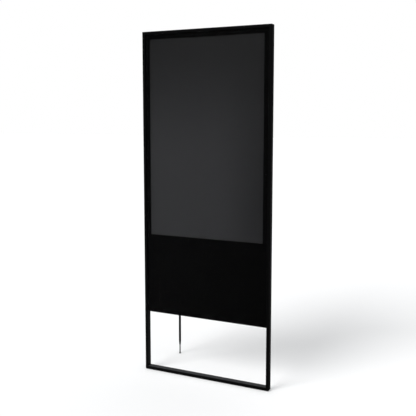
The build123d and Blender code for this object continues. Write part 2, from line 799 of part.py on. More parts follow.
def cable(points):
    """A round cable along straight runs joined by tangent arcs."""
    radii = bend_radii(points)
    print("cable bends", [round(radius) for radius in radii])
    path = FilletPolyline(*points, radius=radii)
    start = Plane(origin=path @ 0, z_dir=path % 0)
    return sweep(start * Circle(cable_radius), path=path)


def make_cables():
    inlet_top = inlet_z + inlet_body_half[1]
    inlet_plane = 6.0
    supply_plane = 24.0
    nodes["mains_cable"] = cable([
        (mains_cable_x, inlet_plane, inlet_top),
        (mains_cable_x, inlet_plane, 600.0),
        (mains_cable_x, cable_plane, 690.0),
        (mains_cable_x, cable_plane, 850.0),
        (mains_cable_x, supply_plane, 935.0),
        (supply_x[0], supply_plane, 935.0),
    ])
    player_plane = 0.0
    board_plane = chassis_back + board_rise + board_thickness + 4.0
    nodes["signal_cable"] = cable([
        (signal_cable_x, player_plane, player_z[1]),
        (signal_cable_x, player_plane, 640.0),
        (signal_cable_x, cable_plane, 700.0),
        (signal_cable_x, cable_plane, 860.0),
        (board_connector_x, board_plane, 960.0),
        (board_connector_x, board_plane, 1020.0),
    ])


board_connector_x = 75.0

make_frame()
make_glass()
make_glass_supports()
make_display()
make_rear_cover()
make_cover_screws()
make_electronics()
make_fans()
make_speakers()
make_connection_plate()
make_power_inlet()
make_switches()
make_player()
make_door()
make_door_hinges()
make_lock()
make_leg_brackets()
make_leg_pivots()
make_leg_arms()
make_leg()
make_cables()

for name, shape in nodes.items():
    export_step(shape, f"parts/{name}.step")
print(len(nodes), "nodes")
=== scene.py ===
import json
import math
import bpy
import bmesh
import numpy as np
from mathutils import Matrix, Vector
from mathutils.geometry import delaunay_2d_cdt


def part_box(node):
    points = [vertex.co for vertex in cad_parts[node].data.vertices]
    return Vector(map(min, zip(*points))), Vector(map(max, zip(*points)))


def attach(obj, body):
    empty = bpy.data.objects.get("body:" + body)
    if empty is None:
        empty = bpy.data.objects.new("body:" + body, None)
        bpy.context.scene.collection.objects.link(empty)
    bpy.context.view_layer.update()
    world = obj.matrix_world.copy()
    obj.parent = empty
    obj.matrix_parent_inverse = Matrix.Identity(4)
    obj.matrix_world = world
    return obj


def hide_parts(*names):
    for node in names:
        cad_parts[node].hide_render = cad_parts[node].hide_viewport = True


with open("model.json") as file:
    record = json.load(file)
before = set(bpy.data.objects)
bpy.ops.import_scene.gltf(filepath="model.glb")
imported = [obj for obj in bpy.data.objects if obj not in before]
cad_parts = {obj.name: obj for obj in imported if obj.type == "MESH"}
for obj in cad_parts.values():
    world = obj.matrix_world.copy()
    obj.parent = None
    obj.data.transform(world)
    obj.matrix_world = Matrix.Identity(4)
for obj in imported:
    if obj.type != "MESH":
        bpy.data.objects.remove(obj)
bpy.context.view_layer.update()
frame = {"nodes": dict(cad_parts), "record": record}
record = frame["record"]
mm = 0.001
mergeGap = 1e-6  # points closer than this are one
print("frame loaded:", len(frame["nodes"]), "nodes")

nodeBody = {n: body for body, members in record["behaviour"]["bodies"].items() for n in members}
nodeSlot = {s["node"]: s["material_slot"] for s in record["subparts"]}
jointPlace = {j["name"]: np.array(j.get("pos_m", (0, 0, 0))) for j in record["behaviour"]["joints"]}


def nodeBox(node):
    low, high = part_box(node)
    return np.array(low), np.array(high)


# ---- mesh work: every surface is a grid of points worked out with numpy

def gridFaces(rows, cols, wrapRows=False, wrapCols=False):
    # quads between neighbouring points of a rows x cols grid, joined round where it wraps
    i = np.arange(rows if wrapRows else rows - 1)[:, None]
    j = np.arange(cols if wrapCols else cols - 1)[None, :]
    a = i * cols + j
    b = i * cols + (j + 1) % cols
    c = ((i + 1) % rows) * cols + (j + 1) % cols
    d = ((i + 1) % rows) * cols + j
    return np.stack([a, b, c, d], axis=-1).reshape(-1, 4)


def tubeFaces(rows, cols):
    # rings of points closed round, with both ends capped
    caps = [list(range(cols)), list(range((rows - 1) * cols, rows * cols))]
    return gridFaces(rows, cols, wrapCols=True).tolist() + caps


def joinShells(shells):
    # several (points, faces) shells as one
    points, faces, start = [], [], 0
    for shellPoints, shellFaces in shells:
        shellPoints = np.asarray(shellPoints, float).reshape(-1, 3)
        points.append(shellPoints)
        faces += [[int(v) + start for v in face] for face in shellFaces]
        start += len(shellPoints)
    return np.concatenate(points), faces


def makePiece(name, points, faces, material, sharpAngle=32):
    # mesh in place, doubles merged, normals out, smooth but for edges sharper than the angle
    mesh = bpy.data.meshes.new(name)
    mesh.from_pydata(np.asarray(points, float).reshape(-1, 3).tolist(), [], [list(f) for f in faces])
    bm = bmesh.new()
    bm.from_mesh(mesh)
    bmesh.ops.remove_doubles(bm, verts=bm.verts, dist=mergeGap)
    bmesh.ops.recalc_face_normals(bm, faces=bm.faces)
    bm.to_mesh(mesh)
    bm.free()
    mesh.shade_smooth()
    mesh.set_sharp_from_angle(angle=math.radians(sharpAngle))
    piece = bpy.data.objects.new(name, mesh)
    bpy.context.scene.collection.objects.link(piece)
    piece.data.materials.append(material)
    return piece


def standFor(piece, node):
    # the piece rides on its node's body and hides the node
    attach(piece, nodeBody[node])
    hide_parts(node)


def addPiece(name, node, shell, sharpAngle=32):
    # a (points, faces) shell in the finish of the node that it stands for
    standFor(makePiece(name, *shell, finish[nodeSlot[node]], sharpAngle), node)


def arc(centreX, centreY, radius, fromDegrees, toDegrees, steps):
    t = np.radians(np.linspace(fromDegrees, toDegrees, steps))
    return np.stack([centreX + radius * np.cos(t), centreY + radius * np.sin(t)], axis=1)


def roundedLoop(halfX, halfZ, radius, steps=8):
    # closed rectangle outline with quarter-circle corners, anticlockwise
    corners = [(1, -1, -90), (1, 1, 0), (-1, 1, 90), (-1, -1, 180)]
    return np.concatenate([
        arc(sx * (halfX - radius), sz * (halfZ - radius), radius, start, start + 90, steps)
        for sx, sz, start in corners
    ])


def carried(profile, origins, sideways, upwards):
    # a closed profile (u, v) carried along a path: point = origin + u * sideways + v * upwards
    profile = np.asarray(profile, float)
    origins = np.atleast_2d(origins)
    sideways = np.broadcast_to(sideways, origins.shape)
    upwards = np.broadcast_to(upwards, origins.shape)
    points = (
        origins[:, None, :]
        + profile[None, :, 0, None] * sideways[:, None, :]
        + profile[None, :, 1, None] * upwards[:, None, :]
    )
    return points.reshape(-1, 3), tubeFaces(*points.shape[:2])


def turned(profile, centre, axis="z", steps=32, closed=False):
    # profile (radius, height) turned round an axis: x = r cos t, y = r sin t, poles where r is 0
    profile = np.asarray(profile, float)
    t = np.linspace(0, 2 * math.pi, steps, endpoint=False)
    r, h = profile[:, 0, None], profile[:, 1, None]
    flatA, flatB, along = r * np.cos(t), r * np.sin(t), h + 0 * t
    order = {"z": (flatA, flatB, along), "y": (flatB, along, flatA), "x": (along, flatA, flatB)}[axis]
    points = np.stack(order, axis=-1) + np.asarray(centre)
    faces = gridFaces(len(profile), steps, wrapRows=closed, wrapCols=True)
    return points.reshape(-1, 3), faces.tolist()


def softBlock(low, high, radius, steps=4):
    # box with rounded edges: each surface point is its nearest point of the inner box, plus radius outwards
    low, high = np.asarray(low, float), np.asarray(high, float)
    half, middle = (high - low) / 2, (high + low) / 2
    radius = min(radius, 0.999 * half.min())  # leaves a sliver of flat on the thinnest side
    inner = half - radius
    bend = radius * np.tan(np.linspace(0, math.pi / 4, steps + 1))
    shells = []
    for axis in range(3):
        a, b = [k for k in range(3) if k != axis]
        spans = []
        for k in (a, b):
            ends = inner[k] + bend
            spans.append(np.concatenate([-ends[::-1], ends]))
        gridA, gridB = np.meshgrid(*spans, indexing="ij")
        for side in (-1, 1):
            q = np.zeros(gridA.shape + (3,))
            q[..., a], q[..., b], q[..., axis] = gridA, gridB, side * half[axis]
            core = np.clip(q, -inner, inner)
            out = q - core
            out /= np.linalg.norm(out, axis=-1, keepdims=True)
            points = core + radius * out + middle
            shells.append((points.reshape(-1, 3), gridFaces(*gridA.shape).tolist()))
    return joinShells(shells)


def filledPlate(outer, holes):
    # flat fill between an outer loop and convex holes: the triangles whose middle lies in no hole
    loops = [outer] + list(holes)
    edges, start = [], 0
    for loop in loops:
        n = len(loop)
        edges += [(start + i, start + (i + 1) % n) for i in range(n)]
        start += n
    flat = np.concatenate(loops)
    found = delaunay_2d_cdt([tuple(p) for p in flat.tolist()], edges, [], 1, 0.1 * mergeGap)
    points = np.array([tuple(p) for p in found[0]])
    faces = np.array([list(f) for f in found[2]])
    middles = points[faces].mean(axis=1)
    kept = np.ones(len(faces), bool)
    for hole in holes:
        side = np.roll(hole, -1, axis=0) - hole
        away = middles[:, None, :] - hole[None]
        kept &= ~np.all(side[None, :, 0] * away[..., 1] - side[None, :, 1] * away[..., 0] > 0, axis=1)
    return points, faces[kept].tolist()


def softened(node, width, sharpDegrees=30, flatDegrees=1):
    # a merged copy of a CAD node, named in camel case, with its sharp edges broken by a small bevel
    first, *rest = node.split("_")
    name = first + "".join(word.capitalize() for word in rest)
    mesh = frame["nodes"][node].data.copy()
    mesh.name = name
    bm = bmesh.new()
    bm.from_mesh(mesh)
    bmesh.ops.remove_doubles(bm, verts=bm.verts, dist=mergeGap)
    bmesh.ops.dissolve_limit(bm, angle_limit=math.radians(flatDegrees), verts=bm.verts, edges=bm.edges)
    bm.to_mesh(mesh)
    bm.free()
    if mesh.has_custom_normals:
        mesh.normals_split_custom_set([(0, 0, 0)] * len(mesh.loops))
    mesh.shade_smooth()
    mesh.set_sharp_from_angle(angle=math.radians(sharpDegrees))
    piece = bpy.data.objects.new(name, mesh)
    bpy.context.scene.collection.objects.link(piece)
    mesh.materials.clear()
    mesh.materials.append(finish[nodeSlot[node]])
    if width:
        edge = piece.modifiers.new("brokenEdges", "BEVEL")
        edge.width = width
        edge.segments = 2
        edge.limit_method = "ANGLE"
        edge.angle_limit = math.radians(sharpDegrees)
        edge.harden_normals = True
    standFor(piece, node)


# ---- shader groups shared by the materials

def newGroup(name, inputs, outputs):
    group = bpy.data.node_groups.new(name, "ShaderNodeTree")
    for label, kind, value in inputs:
        socket = group.interface.new_socket(label, in_out="INPUT", socket_type=kind)
        if value is not None:
            socket.default_value = value
    for label, kind in outputs:
        group.interface.new_socket(label, in_out="OUTPUT", socket_type=kind)
    return group, group.nodes.new("NodeGroupInput"), group.nodes.new("NodeGroupOutput")


def addNode(tree, kind, settings=None, **values):
    node = tree.nodes.new(kind)
    for key, value in (settings or {}).items():
        setattr(node, key, value)
    for key, value in values.items():
        node.inputs[key.replace("_", " ")].default_value = value
    return node


def mathNode(tree, operation, first, second=None, third=None, clamp=False):
    node = tree.nodes.new("ShaderNodeMath")
    node.operation = operation
    node.use_clamp = clamp
    for socket, value in zip(node.inputs, (first, second, third)):
        if value is None:
            continue
        if isinstance(value, (int, float)):
            socket.default_value = value
        else:
            tree.links.new(value, socket)
    return node.outputs[0]


def objectPlace(tree, stretch=(1, 1, 1)):
    place = tree.nodes.new("ShaderNodeTexCoord")
    mapping = tree.nodes.new("ShaderNodeMapping")
    mapping.inputs["Scale"].default_value = stretch
    tree.links.new(place.outputs["Object"], mapping.inputs["Vector"])
    return mapping.outputs["Vector"]


def splitParts(tree, vector):
    # the X, Y and Z outputs of a vector
    parts = tree.nodes.new("ShaderNodeSeparateXYZ")
    tree.links.new(vector, parts.inputs[0])
    return parts.outputs


def noiseNode(tree, place, **values):
    node = addNode(tree, "ShaderNodeTexNoise", **values)
    tree.links.new(place, node.inputs["Vector"])
    return node


def makePeelGroup():
    # powder coat: soft dimples of one size with fine specks, and a slow drift
    group, ins, outs = newGroup(
        "powderPeel",
        [("Dimple Scale", "NodeSocketFloat", 900.0), ("Speck Scale", "NodeSocketFloat", 2600.0)],
        [("Height", "NodeSocketFloat"), ("Drift", "NodeSocketFloat")],
    )
    links = group.links
    place = objectPlace(group)
    dimple = noiseNode(group, place, Detail=2.0, Roughness=0.5)
    drift = noiseNode(group, place, Scale=7.0, Detail=3.0)
    speck = addNode(group, "ShaderNodeTexVoronoi", {"feature": "F1"})
    links.new(place, speck.inputs["Vector"])
    links.new(ins.outputs["Dimple Scale"], dimple.inputs["Scale"])
    links.new(ins.outputs["Speck Scale"], speck.inputs["Scale"])
    small = mathNode(group, "SUBTRACT", 0.35, speck.outputs["Distance"], clamp=True)
    links.new(mathNode(group, "MULTIPLY_ADD", small, 0.5, dimple.outputs["Fac"]), outs.inputs["Height"])
    links.new(drift.outputs["Fac"], outs.inputs["Drift"])
    return group


def makeEdgeGroup():
    # how far the softened normal leans from the true one, broken up by noise: worn edges
    group, ins, outs = newGroup(
        "edgeWear",
        [("Radius", "NodeSocketFloat", 0.0008), ("Break Scale", "NodeSocketFloat", 60.0)],
        [("Mask", "NodeSocketFloat")],
    )
    links = group.links
    bevel = group.nodes.new("ShaderNodeBevel")
    bevel.samples = 4
    links.new(ins.outputs["Radius"], bevel.inputs["Radius"])
    true = group.nodes.new("ShaderNodeNewGeometry")
    lean = group.nodes.new("ShaderNodeVectorMath")
    lean.operation = "DOT_PRODUCT"
    links.new(bevel.outputs["Normal"], lean.inputs[0])
    links.new(true.outputs["Normal"], lean.inputs[1])
    noise = noiseNode(group, objectPlace(group), Detail=4.0)
    links.new(ins.outputs["Break Scale"], noise.inputs["Scale"])
    gap = mathNode(group, "SUBTRACT", 1.0, lean.outputs["Value"], clamp=True)
    patch = mathNode(group, "MULTIPLY", gap, noise.outputs["Fac"])
    links.new(mathNode(group, "MULTIPLY", patch, 6.0, clamp=True), outs.inputs["Mask"])
    return group


def makeDustGroup():
    # dust that settles: upward-facing surface times broken noise
    group, ins, outs = newGroup(
        "settledDust",
        [("Amount", "NodeSocketFloat", 0.3), ("Patch Scale", "NodeSocketFloat", 35.0)],
        [("Mask", "NodeSocketFloat")],
    )
    links = group.links
    geometry = group.nodes.new("ShaderNodeNewGeometry")
    normal = splitParts(group, geometry.outputs["Normal"])
    noise = noiseNode(group, objectPlace(group), Detail=6.0, Roughness=0.65)
    links.new(ins.outputs["Patch Scale"], noise.inputs["Scale"])
    up = mathNode(group, "MULTIPLY", normal["Z"], normal["Z"], clamp=True)
    facing = mathNode(group, "GREATER_THAN", normal["Z"], 0.0)
    patch = mathNode(group, "MULTIPLY", mathNode(group, "MULTIPLY", up, facing), noise.outputs["Fac"])
    links.new(mathNode(group, "MULTIPLY", patch, ins.outputs["Amount"], clamp=True), outs.inputs["Mask"])
    return group


def makeGrainGroup():
    # moulded plastic and rubber: round cells, and a slow drift
    group, ins, outs = newGroup(
        "mouldGrain",
        [("Cell Scale", "NodeSocketFloat", 1400.0)],
        [("Height", "NodeSocketFloat"), ("Drift", "NodeSocketFloat")],
    )
    links = group.links
    place = objectPlace(group)
    cells = addNode(group, "ShaderNodeTexVoronoi", {"feature": "SMOOTH_F1"})
    links.new(place, cells.inputs["Vector"])
    links.new(ins.outputs["Cell Scale"], cells.inputs["Scale"])
    drift = noiseNode(group, place, Scale=40.0, Detail=4.0)
    links.new(cells.outputs["Distance"], outs.inputs["Height"])
    links.new(drift.outputs["Fac"], outs.inputs["Drift"])
    return group


def makeBrushGroup():
    # brushed or rolled metal: noise drawn out along one direction
    group, ins, outs = newGroup(
        "drawnLines",
        [("Stretch", "NodeSocketVector", (1.0, 1.0, 40.0)), ("Scale", "NodeSocketFloat", 90.0)],
        [("Line", "NodeSocketFloat")],
    )
    links = group.links
    place = group.nodes.new("ShaderNodeTexCoord")
    mapping = group.nodes.new("ShaderNodeMapping")
    links.new(place.outputs["Object"], mapping.inputs["Vector"])
    links.new(ins.outputs["Stretch"], mapping.inputs["Scale"])
    noise = noiseNode(group, mapping.outputs["Vector"], Detail=3.0, Roughness=0.6)
    links.new(ins.outputs["Scale"], noise.inputs["Scale"])
    links.new(noise.outputs["Fac"], outs.inputs["Line"])
    return group


def makeSmudgeGroup():
    # wipe marks and finger smudges on glass, strongest at hand height
    group, ins, outs = newGroup(
        "wipeMarks",
        [("Hand Height", "NodeSocketFloat", 1.2), ("Reach", "NodeSocketFloat", 0.5)],
        [("Mask", "NodeSocketFloat"), ("Haze", "NodeSocketFloat")],
    )
    links = group.links
    place = objectPlace(group)
    away = mathNode(group, "SUBTRACT", splitParts(group, place)["Z"], ins.outputs["Hand Height"])
    away = mathNode(group, "DIVIDE", mathNode(group, "ABSOLUTE", away), ins.outputs["Reach"])
    near = mathNode(group, "SUBTRACT", 1.0, away, clamp=True)
    prints = noiseNode(group, place, Scale=38.0, Detail=5.0, Distortion=0.6)
    wipes = noiseNode(group, objectPlace(group, (2.2, 1.0, 14.0)), Scale=1.0, Detail=4.0)
    strong = mathNode(group, "SUBTRACT", prints.outputs["Fac"], 0.58, clamp=True)
    mask = mathNode(group, "MULTIPLY", mathNode(group, "MULTIPLY", strong, near), 3.0, clamp=True)
    links.new(mask, outs.inputs["Mask"])
    links.new(wipes.outputs["Fac"], outs.inputs["Haze"])
    return group


powderPeel = makePeelGroup()
edgeWear = makeEdgeGroup()
settledDust = makeDustGroup()
mouldGrain = makeGrainGroup()
drawnLines = makeBrushGroup()
wipeMarks = makeSmudgeGroup()
dustColour = (0.30, 0.30, 0.31)


def groupNode(tree, group, **values):
    node = tree.nodes.new("ShaderNodeGroup")
    node.node_tree = group
    for key, value in values.items():
        node.inputs[key.replace("_", " ")].default_value = value
    return node


def newMaterial(name, **values):
    # a Principled material whose plain values stand on the shader's own sockets
    material = bpy.data.materials.new(name)
    material.use_nodes = True
    shader = material.node_tree.nodes["Principled BSDF"]
    for key, value in values.items():
        shader.inputs[key.replace("_", " ")].default_value = value
    return material, material.node_tree, shader


def mixColour(tree, factor, first, second):
    mix = tree.nodes.new("ShaderNodeMix")
    mix.data_type = "RGBA"
    mix.inputs[6].default_value = (*first, 1)
    mix.inputs[7].default_value = (*second, 1)
    if isinstance(factor, (int, float)):
        mix.inputs[0].default_value = factor
    else:
        tree.links.new(factor, mix.inputs[0])
    return mix


def stretchTo(tree, value, low, high):
    # value from 0..1 to low..high
    remap = tree.nodes.new("ShaderNodeMapRange")
    remap.inputs["To Min"].default_value = low
    remap.inputs["To Max"].default_value = high
    tree.links.new(value, remap.inputs["Value"])
    return remap.outputs["Result"]


def easedStep(tree, value, start, end, low=0.0, high=1.0):
    # smooth rise of value from low at start to high at end
    ramp = tree.nodes.new("ShaderNodeMapRange")
    ramp.interpolation_type = "SMOOTHSTEP"
    for label, number in (("From Min", start), ("From Max", end), ("To Min", low), ("To Max", high)):
        ramp.inputs[label].default_value = number
    tree.links.new(value, ramp.inputs["Value"])
    return ramp.outputs["Result"]


def addBump(tree, shader, height, strength, distance):
    bump = addNode(tree, "ShaderNodeBump", Strength=strength, Distance=distance)
    tree.links.new(height, bump.inputs["Height"])
    tree.links.new(bump.outputs["Normal"], shader.inputs["Normal"])


def layColour(tree, shader, under, mask, colour):
    # a second colour laid over the first where the mask says
    over = mixColour(tree, mask, colour, colour)
    tree.links.new(under.outputs[2], over.inputs[6])
    tree.links.new(over.outputs[2], shader.inputs["Base Color"])


def powderMaterial(name, colour, worn, roughness, peel, dimpleScale, gloss):
    material, tree, shader = newMaterial(name, Specular_IOR_Level=gloss)
    surface = groupNode(tree, powderPeel, Dimple_Scale=dimpleScale)
    wear = groupNode(tree, edgeWear)
    dust = groupNode(tree, settledDust, Amount=0.16)
    tone = mixColour(tree, wear.outputs["Mask"], colour, worn)
    layColour(tree, shader, tone, dust.outputs["Mask"], dustColour)
    tree.links.new(stretchTo(tree, surface.outputs["Drift"], *roughness), shader.inputs["Roughness"])
    addBump(tree, shader, surface.outputs["Height"], peel, 0.12 * mm)
    return material


def plasticMaterial(name, colour, roughness, grain, cellScale=1400.0, coat=0.0):
    material, tree, shader = newMaterial(name, Coat_Weight=coat, Specular_IOR_Level=0.4)
    surface = groupNode(tree, mouldGrain, Cell_Scale=cellScale)
    dust = groupNode(tree, settledDust, Amount=0.2)
    base = mixColour(tree, surface.outputs["Drift"], colour, tuple(c * 1.5 for c in colour))
    layColour(tree, shader, base, dust.outputs["Mask"], dustColour)
    tree.links.new(stretchTo(tree, surface.outputs["Drift"], *roughness), shader.inputs["Roughness"])
    addBump(tree, shader, surface.outputs["Height"], grain, 0.1 * mm)
    return material


def metalMaterial(name, colour, roughness, stretch=(1, 1, 40), scale=90.0, tarnish=0.75):
    material, tree, shader = newMaterial(name, Metallic=1.0)
    lines = groupNode(tree, drawnLines, Scale=scale)
    lines.inputs["Stretch"].default_value = stretch
    wear = groupNode(tree, edgeWear, Radius=0.5 * mm)
    base = mixColour(tree, lines.outputs["Line"], tuple(c * tarnish for c in colour), colour)
    layColour(tree, shader, base, wear.outputs["Mask"], tuple(min(1, c * 1.25) for c in colour))
    tree.links.new(stretchTo(tree, lines.outputs["Line"], *roughness), shader.inputs["Roughness"])
    addBump(tree, shader, lines.outputs["Line"], 0.15, 0.05 * mm)
    return material


def glassMaterial():
    # clear coated glass, seen through, with smudges that show in its gloss
    material, tree, shader = newMaterial("coatedGlass", Specular_IOR_Level=0.12, IOR=1.45)
    marks = groupNode(tree, wipeMarks)
    base = mixColour(tree, marks.outputs["Mask"], (0.0, 0.0, 0.0), (0.004, 0.004, 0.0045))
    tree.links.new(base.outputs[2], shader.inputs["Base Color"])
    rough = mathNode(tree, "MULTIPLY_ADD", marks.outputs["Haze"], 0.05, 0.03)
    rough = mathNode(tree, "MULTIPLY_ADD", marks.outputs["Mask"], 0.12, rough)
    tree.links.new(rough, shader.inputs["Roughness"])
    tree.links.new(stretchTo(tree, marks.outputs["Mask"], 0.070, 0.078), shader.inputs["Alpha"])
    return material


def printMaterial():
    # screen-printed enamel on the back of the glass: deep black with faint print lines
    material, tree, shader = newMaterial("enamelPrint", Specular_IOR_Level=0.03, Roughness=0.35)
    surface = groupNode(tree, mouldGrain, Cell_Scale=700.0)
    base = mixColour(tree, surface.outputs["Drift"], (0.0009, 0.0009, 0.0010), (0.0014, 0.0014, 0.0015))
    tree.links.new(base.outputs[2], shader.inputs["Base Color"])
    tree.links.new(stretchTo(tree, surface.outputs["Drift"], 0.36, 0.46), shader.inputs["Roughness"])
    return material


# the painted reflection's fade in screen heights above the screen's lower edge, its side fade in screen
# widths from the middle
paintedReflection = {"fadeStart": 0.37, "fadeEnd": 1.08, "sideStart": 0.08, "sideEnd": 0.6, "sideTone": 0.3}


def displayMaterial():
    # switched-off screen: matt film with a fine sparkle over dark cells, its colour carrying a painted
    # reflection that is lightest low and left
    # and falls off upwards and to the right: tone = ease(height / screen height) * ease(x / screen width)
    material, tree, shader = newMaterial("displayCell", Specular_IOR_Level=0.3)
    sparkle = groupNode(tree, mouldGrain, Cell_Scale=1600.0)
    low, high = nodeBox("lcd_panel")
    size = high - low
    place = splitParts(tree, objectPlace(tree))
    start, end = (float(low[2] + paintedReflection[k] * size[2]) for k in ("fadeStart", "fadeEnd"))
    paintedFadeUp = easedStep(tree, place["Z"], start, end, 1.0, 0.0)
    start, end = (float(paintedReflection[k] * size[0]) for k in ("sideStart", "sideEnd"))
    side = easedStep(tree, place["X"], start, end, 1.0, paintedReflection["sideTone"])
    tone = mathNode(tree, "MULTIPLY", paintedFadeUp, side)
    drift = mathNode(tree, "MULTIPLY_ADD", sparkle.outputs["Drift"], 0.06, -0.03)
    tone = mathNode(tree, "ADD", tone, drift, clamp=True)
    # painted reflection: the cell's base colour runs from near black up to dark grey where the painted tone
    # is high
    base = mixColour(tree, tone, (0.0026, 0.0029, 0.0034), (0.0222, 0.0227, 0.0244))
    tree.links.new(base.outputs[2], shader.inputs["Base Color"])
    tree.links.new(stretchTo(tree, sparkle.outputs["Drift"], 0.38, 0.46), shader.inputs["Roughness"])
    addBump(tree, shader, sparkle.outputs["Height"], 0.02, 0.02 * mm)
    return material


def filmMaterial():
    # bonded touch film: nearly invisible, with a faint square mesh, a line where fract(x / pitch) is small
    material, tree, shader = newMaterial("sensorFilm", Roughness=0.2, Specular_IOR_Level=0.0)
    shader.inputs["Base Color"].default_value = (0.0, 0.0, 0.0, 1)
    place = splitParts(tree, objectPlace(tree))
    lines = []
    for axis in ("X", "Z"):
        phase = mathNode(tree, "DIVIDE", place[axis], 6 * mm)
        lines.append(mathNode(tree, "LESS_THAN", mathNode(tree, "FRACT", phase), 0.03))
    line = mathNode(tree, "MAXIMUM", *lines)
    tree.links.new(stretchTo(tree, line, 0.004, 0.10), shader.inputs["Alpha"])
    return material


def boardMaterial():
    # solder mask with copper tracks under it, as a wandering square pattern
    material, tree, shader = newMaterial("solderMask", Specular_IOR_Level=0.5, Coat_Weight=0.3)
    tracks = addNode(tree, "ShaderNodeTexBrick", Scale=55.0, Mortar_Size=0.03)
    turn = tree.nodes.new("ShaderNodeMapping")
    turn.inputs["Rotation"].default_value = (math.radians(90), 0, 0)
    place = tree.nodes.new("ShaderNodeTexCoord")
    tree.links.new(place.outputs["Object"], turn.inputs["Vector"])
    tree.links.new(turn.outputs["Vector"], tracks.inputs["Vector"])
    tracks.inputs["Color1"].default_value = (0.012, 0.10, 0.045, 1)
    tracks.inputs["Color2"].default_value = (0.010, 0.075, 0.035, 1)
    tracks.inputs["Mortar"].default_value = (0.03, 0.19, 0.08, 1)
    tree.links.new(tracks.outputs["Color"], shader.inputs["Base Color"])
    tree.links.new(stretchTo(tree, tracks.outputs["Fac"], 0.3, 0.45), shader.inputs["Roughness"])
    addBump(tree, shader, tracks.outputs["Fac"], 0.3, 0.05 * mm)
    return material


# a finish for each slot of the record: colour, then roughness range, then relief
finish = {
    "frame_paint": powderMaterial(
        "satinCoat", (0.0014, 0.0014, 0.0015), (0.012, 0.012, 0.0125), (0.36, 0.48), 0.25, 900.0, 0.04),
    "housing_paint": powderMaterial(
        "housingCoat", (0.026, 0.026, 0.028), (0.09, 0.09, 0.092), (0.42, 0.56), 0.6, 520.0, 0.5),
    "strip_rubber": plasticMaterial("stripRubber", (0.010, 0.010, 0.010), (0.7, 0.9), 0.5, 900.0),
    "front_glass": glassMaterial(),
    "black_print": printMaterial(),
    "clear_film": filmMaterial(),
    "foam": plasticMaterial("closedCellFoam", (0.014, 0.014, 0.015), (0.8, 0.95), 0.8, 1100.0),
    "display_cell": displayMaterial(),
    "acrylic": plasticMaterial("clearAcrylic", (0.75, 0.78, 0.8), (0.1, 0.2), 0.05, 600.0),
    "zinc_steel": metalMaterial("zincSheet", (0.60, 0.61, 0.62), (0.32, 0.5), (1, 1, 14), 45.0),
    "tray_aluminium": metalMaterial("millAluminium", (0.74, 0.75, 0.76), (0.25, 0.4)),
    "black_steel": metalMaterial("blackenedSteel", (0.12, 0.12, 0.125), (0.28, 0.42)),
    "supply_case": metalMaterial("supplyCase", (0.62, 0.63, 0.64), (0.35, 0.5), (30, 1, 1), 60.0),
    "circuit_board": boardMaterial(),
    "component_black": plasticMaterial("componentBlack", (0.02, 0.02, 0.022), (0.4, 0.6), 0.3),
    "case_plastic": plasticMaterial("casePlastic", (0.012, 0.012, 0.013), (0.42, 0.58), 0.35),
    "gloss_black_plastic": plasticMaterial(
        "pianoPlastic", (0.006, 0.006, 0.0065), (0.12, 0.2), 0.03, 700.0, 0.3
    ),
    "lock_chrome": metalMaterial("nickelPlate", (0.68, 0.67, 0.64), (0.12, 0.24), (1, 30, 1), 120.0, 0.85),
    "cable_jacket": plasticMaterial("cableJacket", (0.012, 0.012, 0.013), (0.5, 0.65), 0.25, 1600.0),
    "blade_brass": metalMaterial("bladePlate", (0.74, 0.66, 0.45), (0.2, 0.35), (1, 30, 1), 200.0),
}
print("materials:", len(finish))

# every CAD node that stays in view takes its slot's finish
for node, piece in frame["nodes"].items():
    piece.data.materials.clear()
    piece.data.materials.append(finish[nodeSlot[node]])

# ---- frame: four mitred tubes, their outer corners eased
frameTube = {"edgeRadius": 1.6 * mm, "cornerRadius": 3.0 * mm, "edgeSteps": 6, "railSteps": 5}
postLow, postHigh = nodeBox("left_post")
outerLow = np.array([postLow[0], postLow[1], nodeBox("bottom_rail")[0][2]])
outerHigh = np.array([nodeBox("right_post")[1][0], postHigh[1], nodeBox("top_rail")[1][2]])
tubeFace = postHigh[0] - postLow[0]
tubeDepth = postHigh[1] - postLow[1]


def mitredTube(corner, along, inward, length):
    # profile (depth from the outer face, y) carried along; ends lie on the 45 degree mitre, a = depth,
    # and near a corner the outer face follows the circle depth = r - sqrt(r^2 - (r - a)^2)
    loop = roundedLoop(tubeFace / 2, tubeDepth / 2, frameTube["edgeRadius"], frameTube["edgeSteps"])
    depth, across = loop[:, 0] + tubeFace / 2, loop[:, 1]
    r = frameTube["cornerRadius"]
    offsets = np.array([0, 0.25, 0.5, 0.8, 1.2, 1.7, 2.4, 4.0, 8.0]) * mm  # closer rings near the corner
    near = np.maximum(depth, r * (1 - math.sqrt(0.5)))[None, :] + offsets[:, None]
    a = np.concatenate([near, length - near[::-1]])
    fromEnd = np.minimum(np.minimum(a, length - a), r)
    d = np.maximum(depth[None, :], r - np.sqrt(r ** 2 - (r - fromEnd) ** 2))
    points = (
        corner + a[..., None] * along + d[..., None] * inward
        + across[None, :, None] * np.array([0, 1.0, 0])
    )
    return points.reshape(-1, 3), tubeFaces(*a.shape)


midY = (outerLow[1] + outerHigh[1]) / 2
across = np.array([1.0, 0, 0])
upward = np.array([0, 0, 1.0])
frameWidth, _, frameHeight = outerHigh - outerLow
lowLeft = np.array([outerLow[0], midY, outerLow[2]])
lowRight = lowLeft + frameWidth * across
topLeft = lowLeft + frameHeight * upward
for name, node, corner, along, inward, length in (
    ("leftPostTube", "left_post", lowLeft, upward, across, frameHeight),
    ("rightPostTube", "right_post", lowRight, upward, -across, frameHeight),
    ("bottomRailTube", "bottom_rail", lowLeft, across, upward, frameWidth),
    ("topRailTube", "top_rail", topLeft, across, -upward, frameWidth),
):
    addPiece(name, node, mitredTube(corner, along, inward, length))
for node, name in (("lower_rail", "lowerRailTube"), ("cross_rail", "crossRailTube")):
    low, high = nodeBox(node)
    half = (high - low) / 2
    profile = roundedLoop(half[1], half[2], frameTube["edgeRadius"], frameTube["railSteps"])
    ends = (low + high) / 2 + np.array([[-half[0], 0, 0], [half[0], 0, 0]])
    addPiece(name, node, carried(profile, ends, (0, 1, 0), (0, 0, 1)))

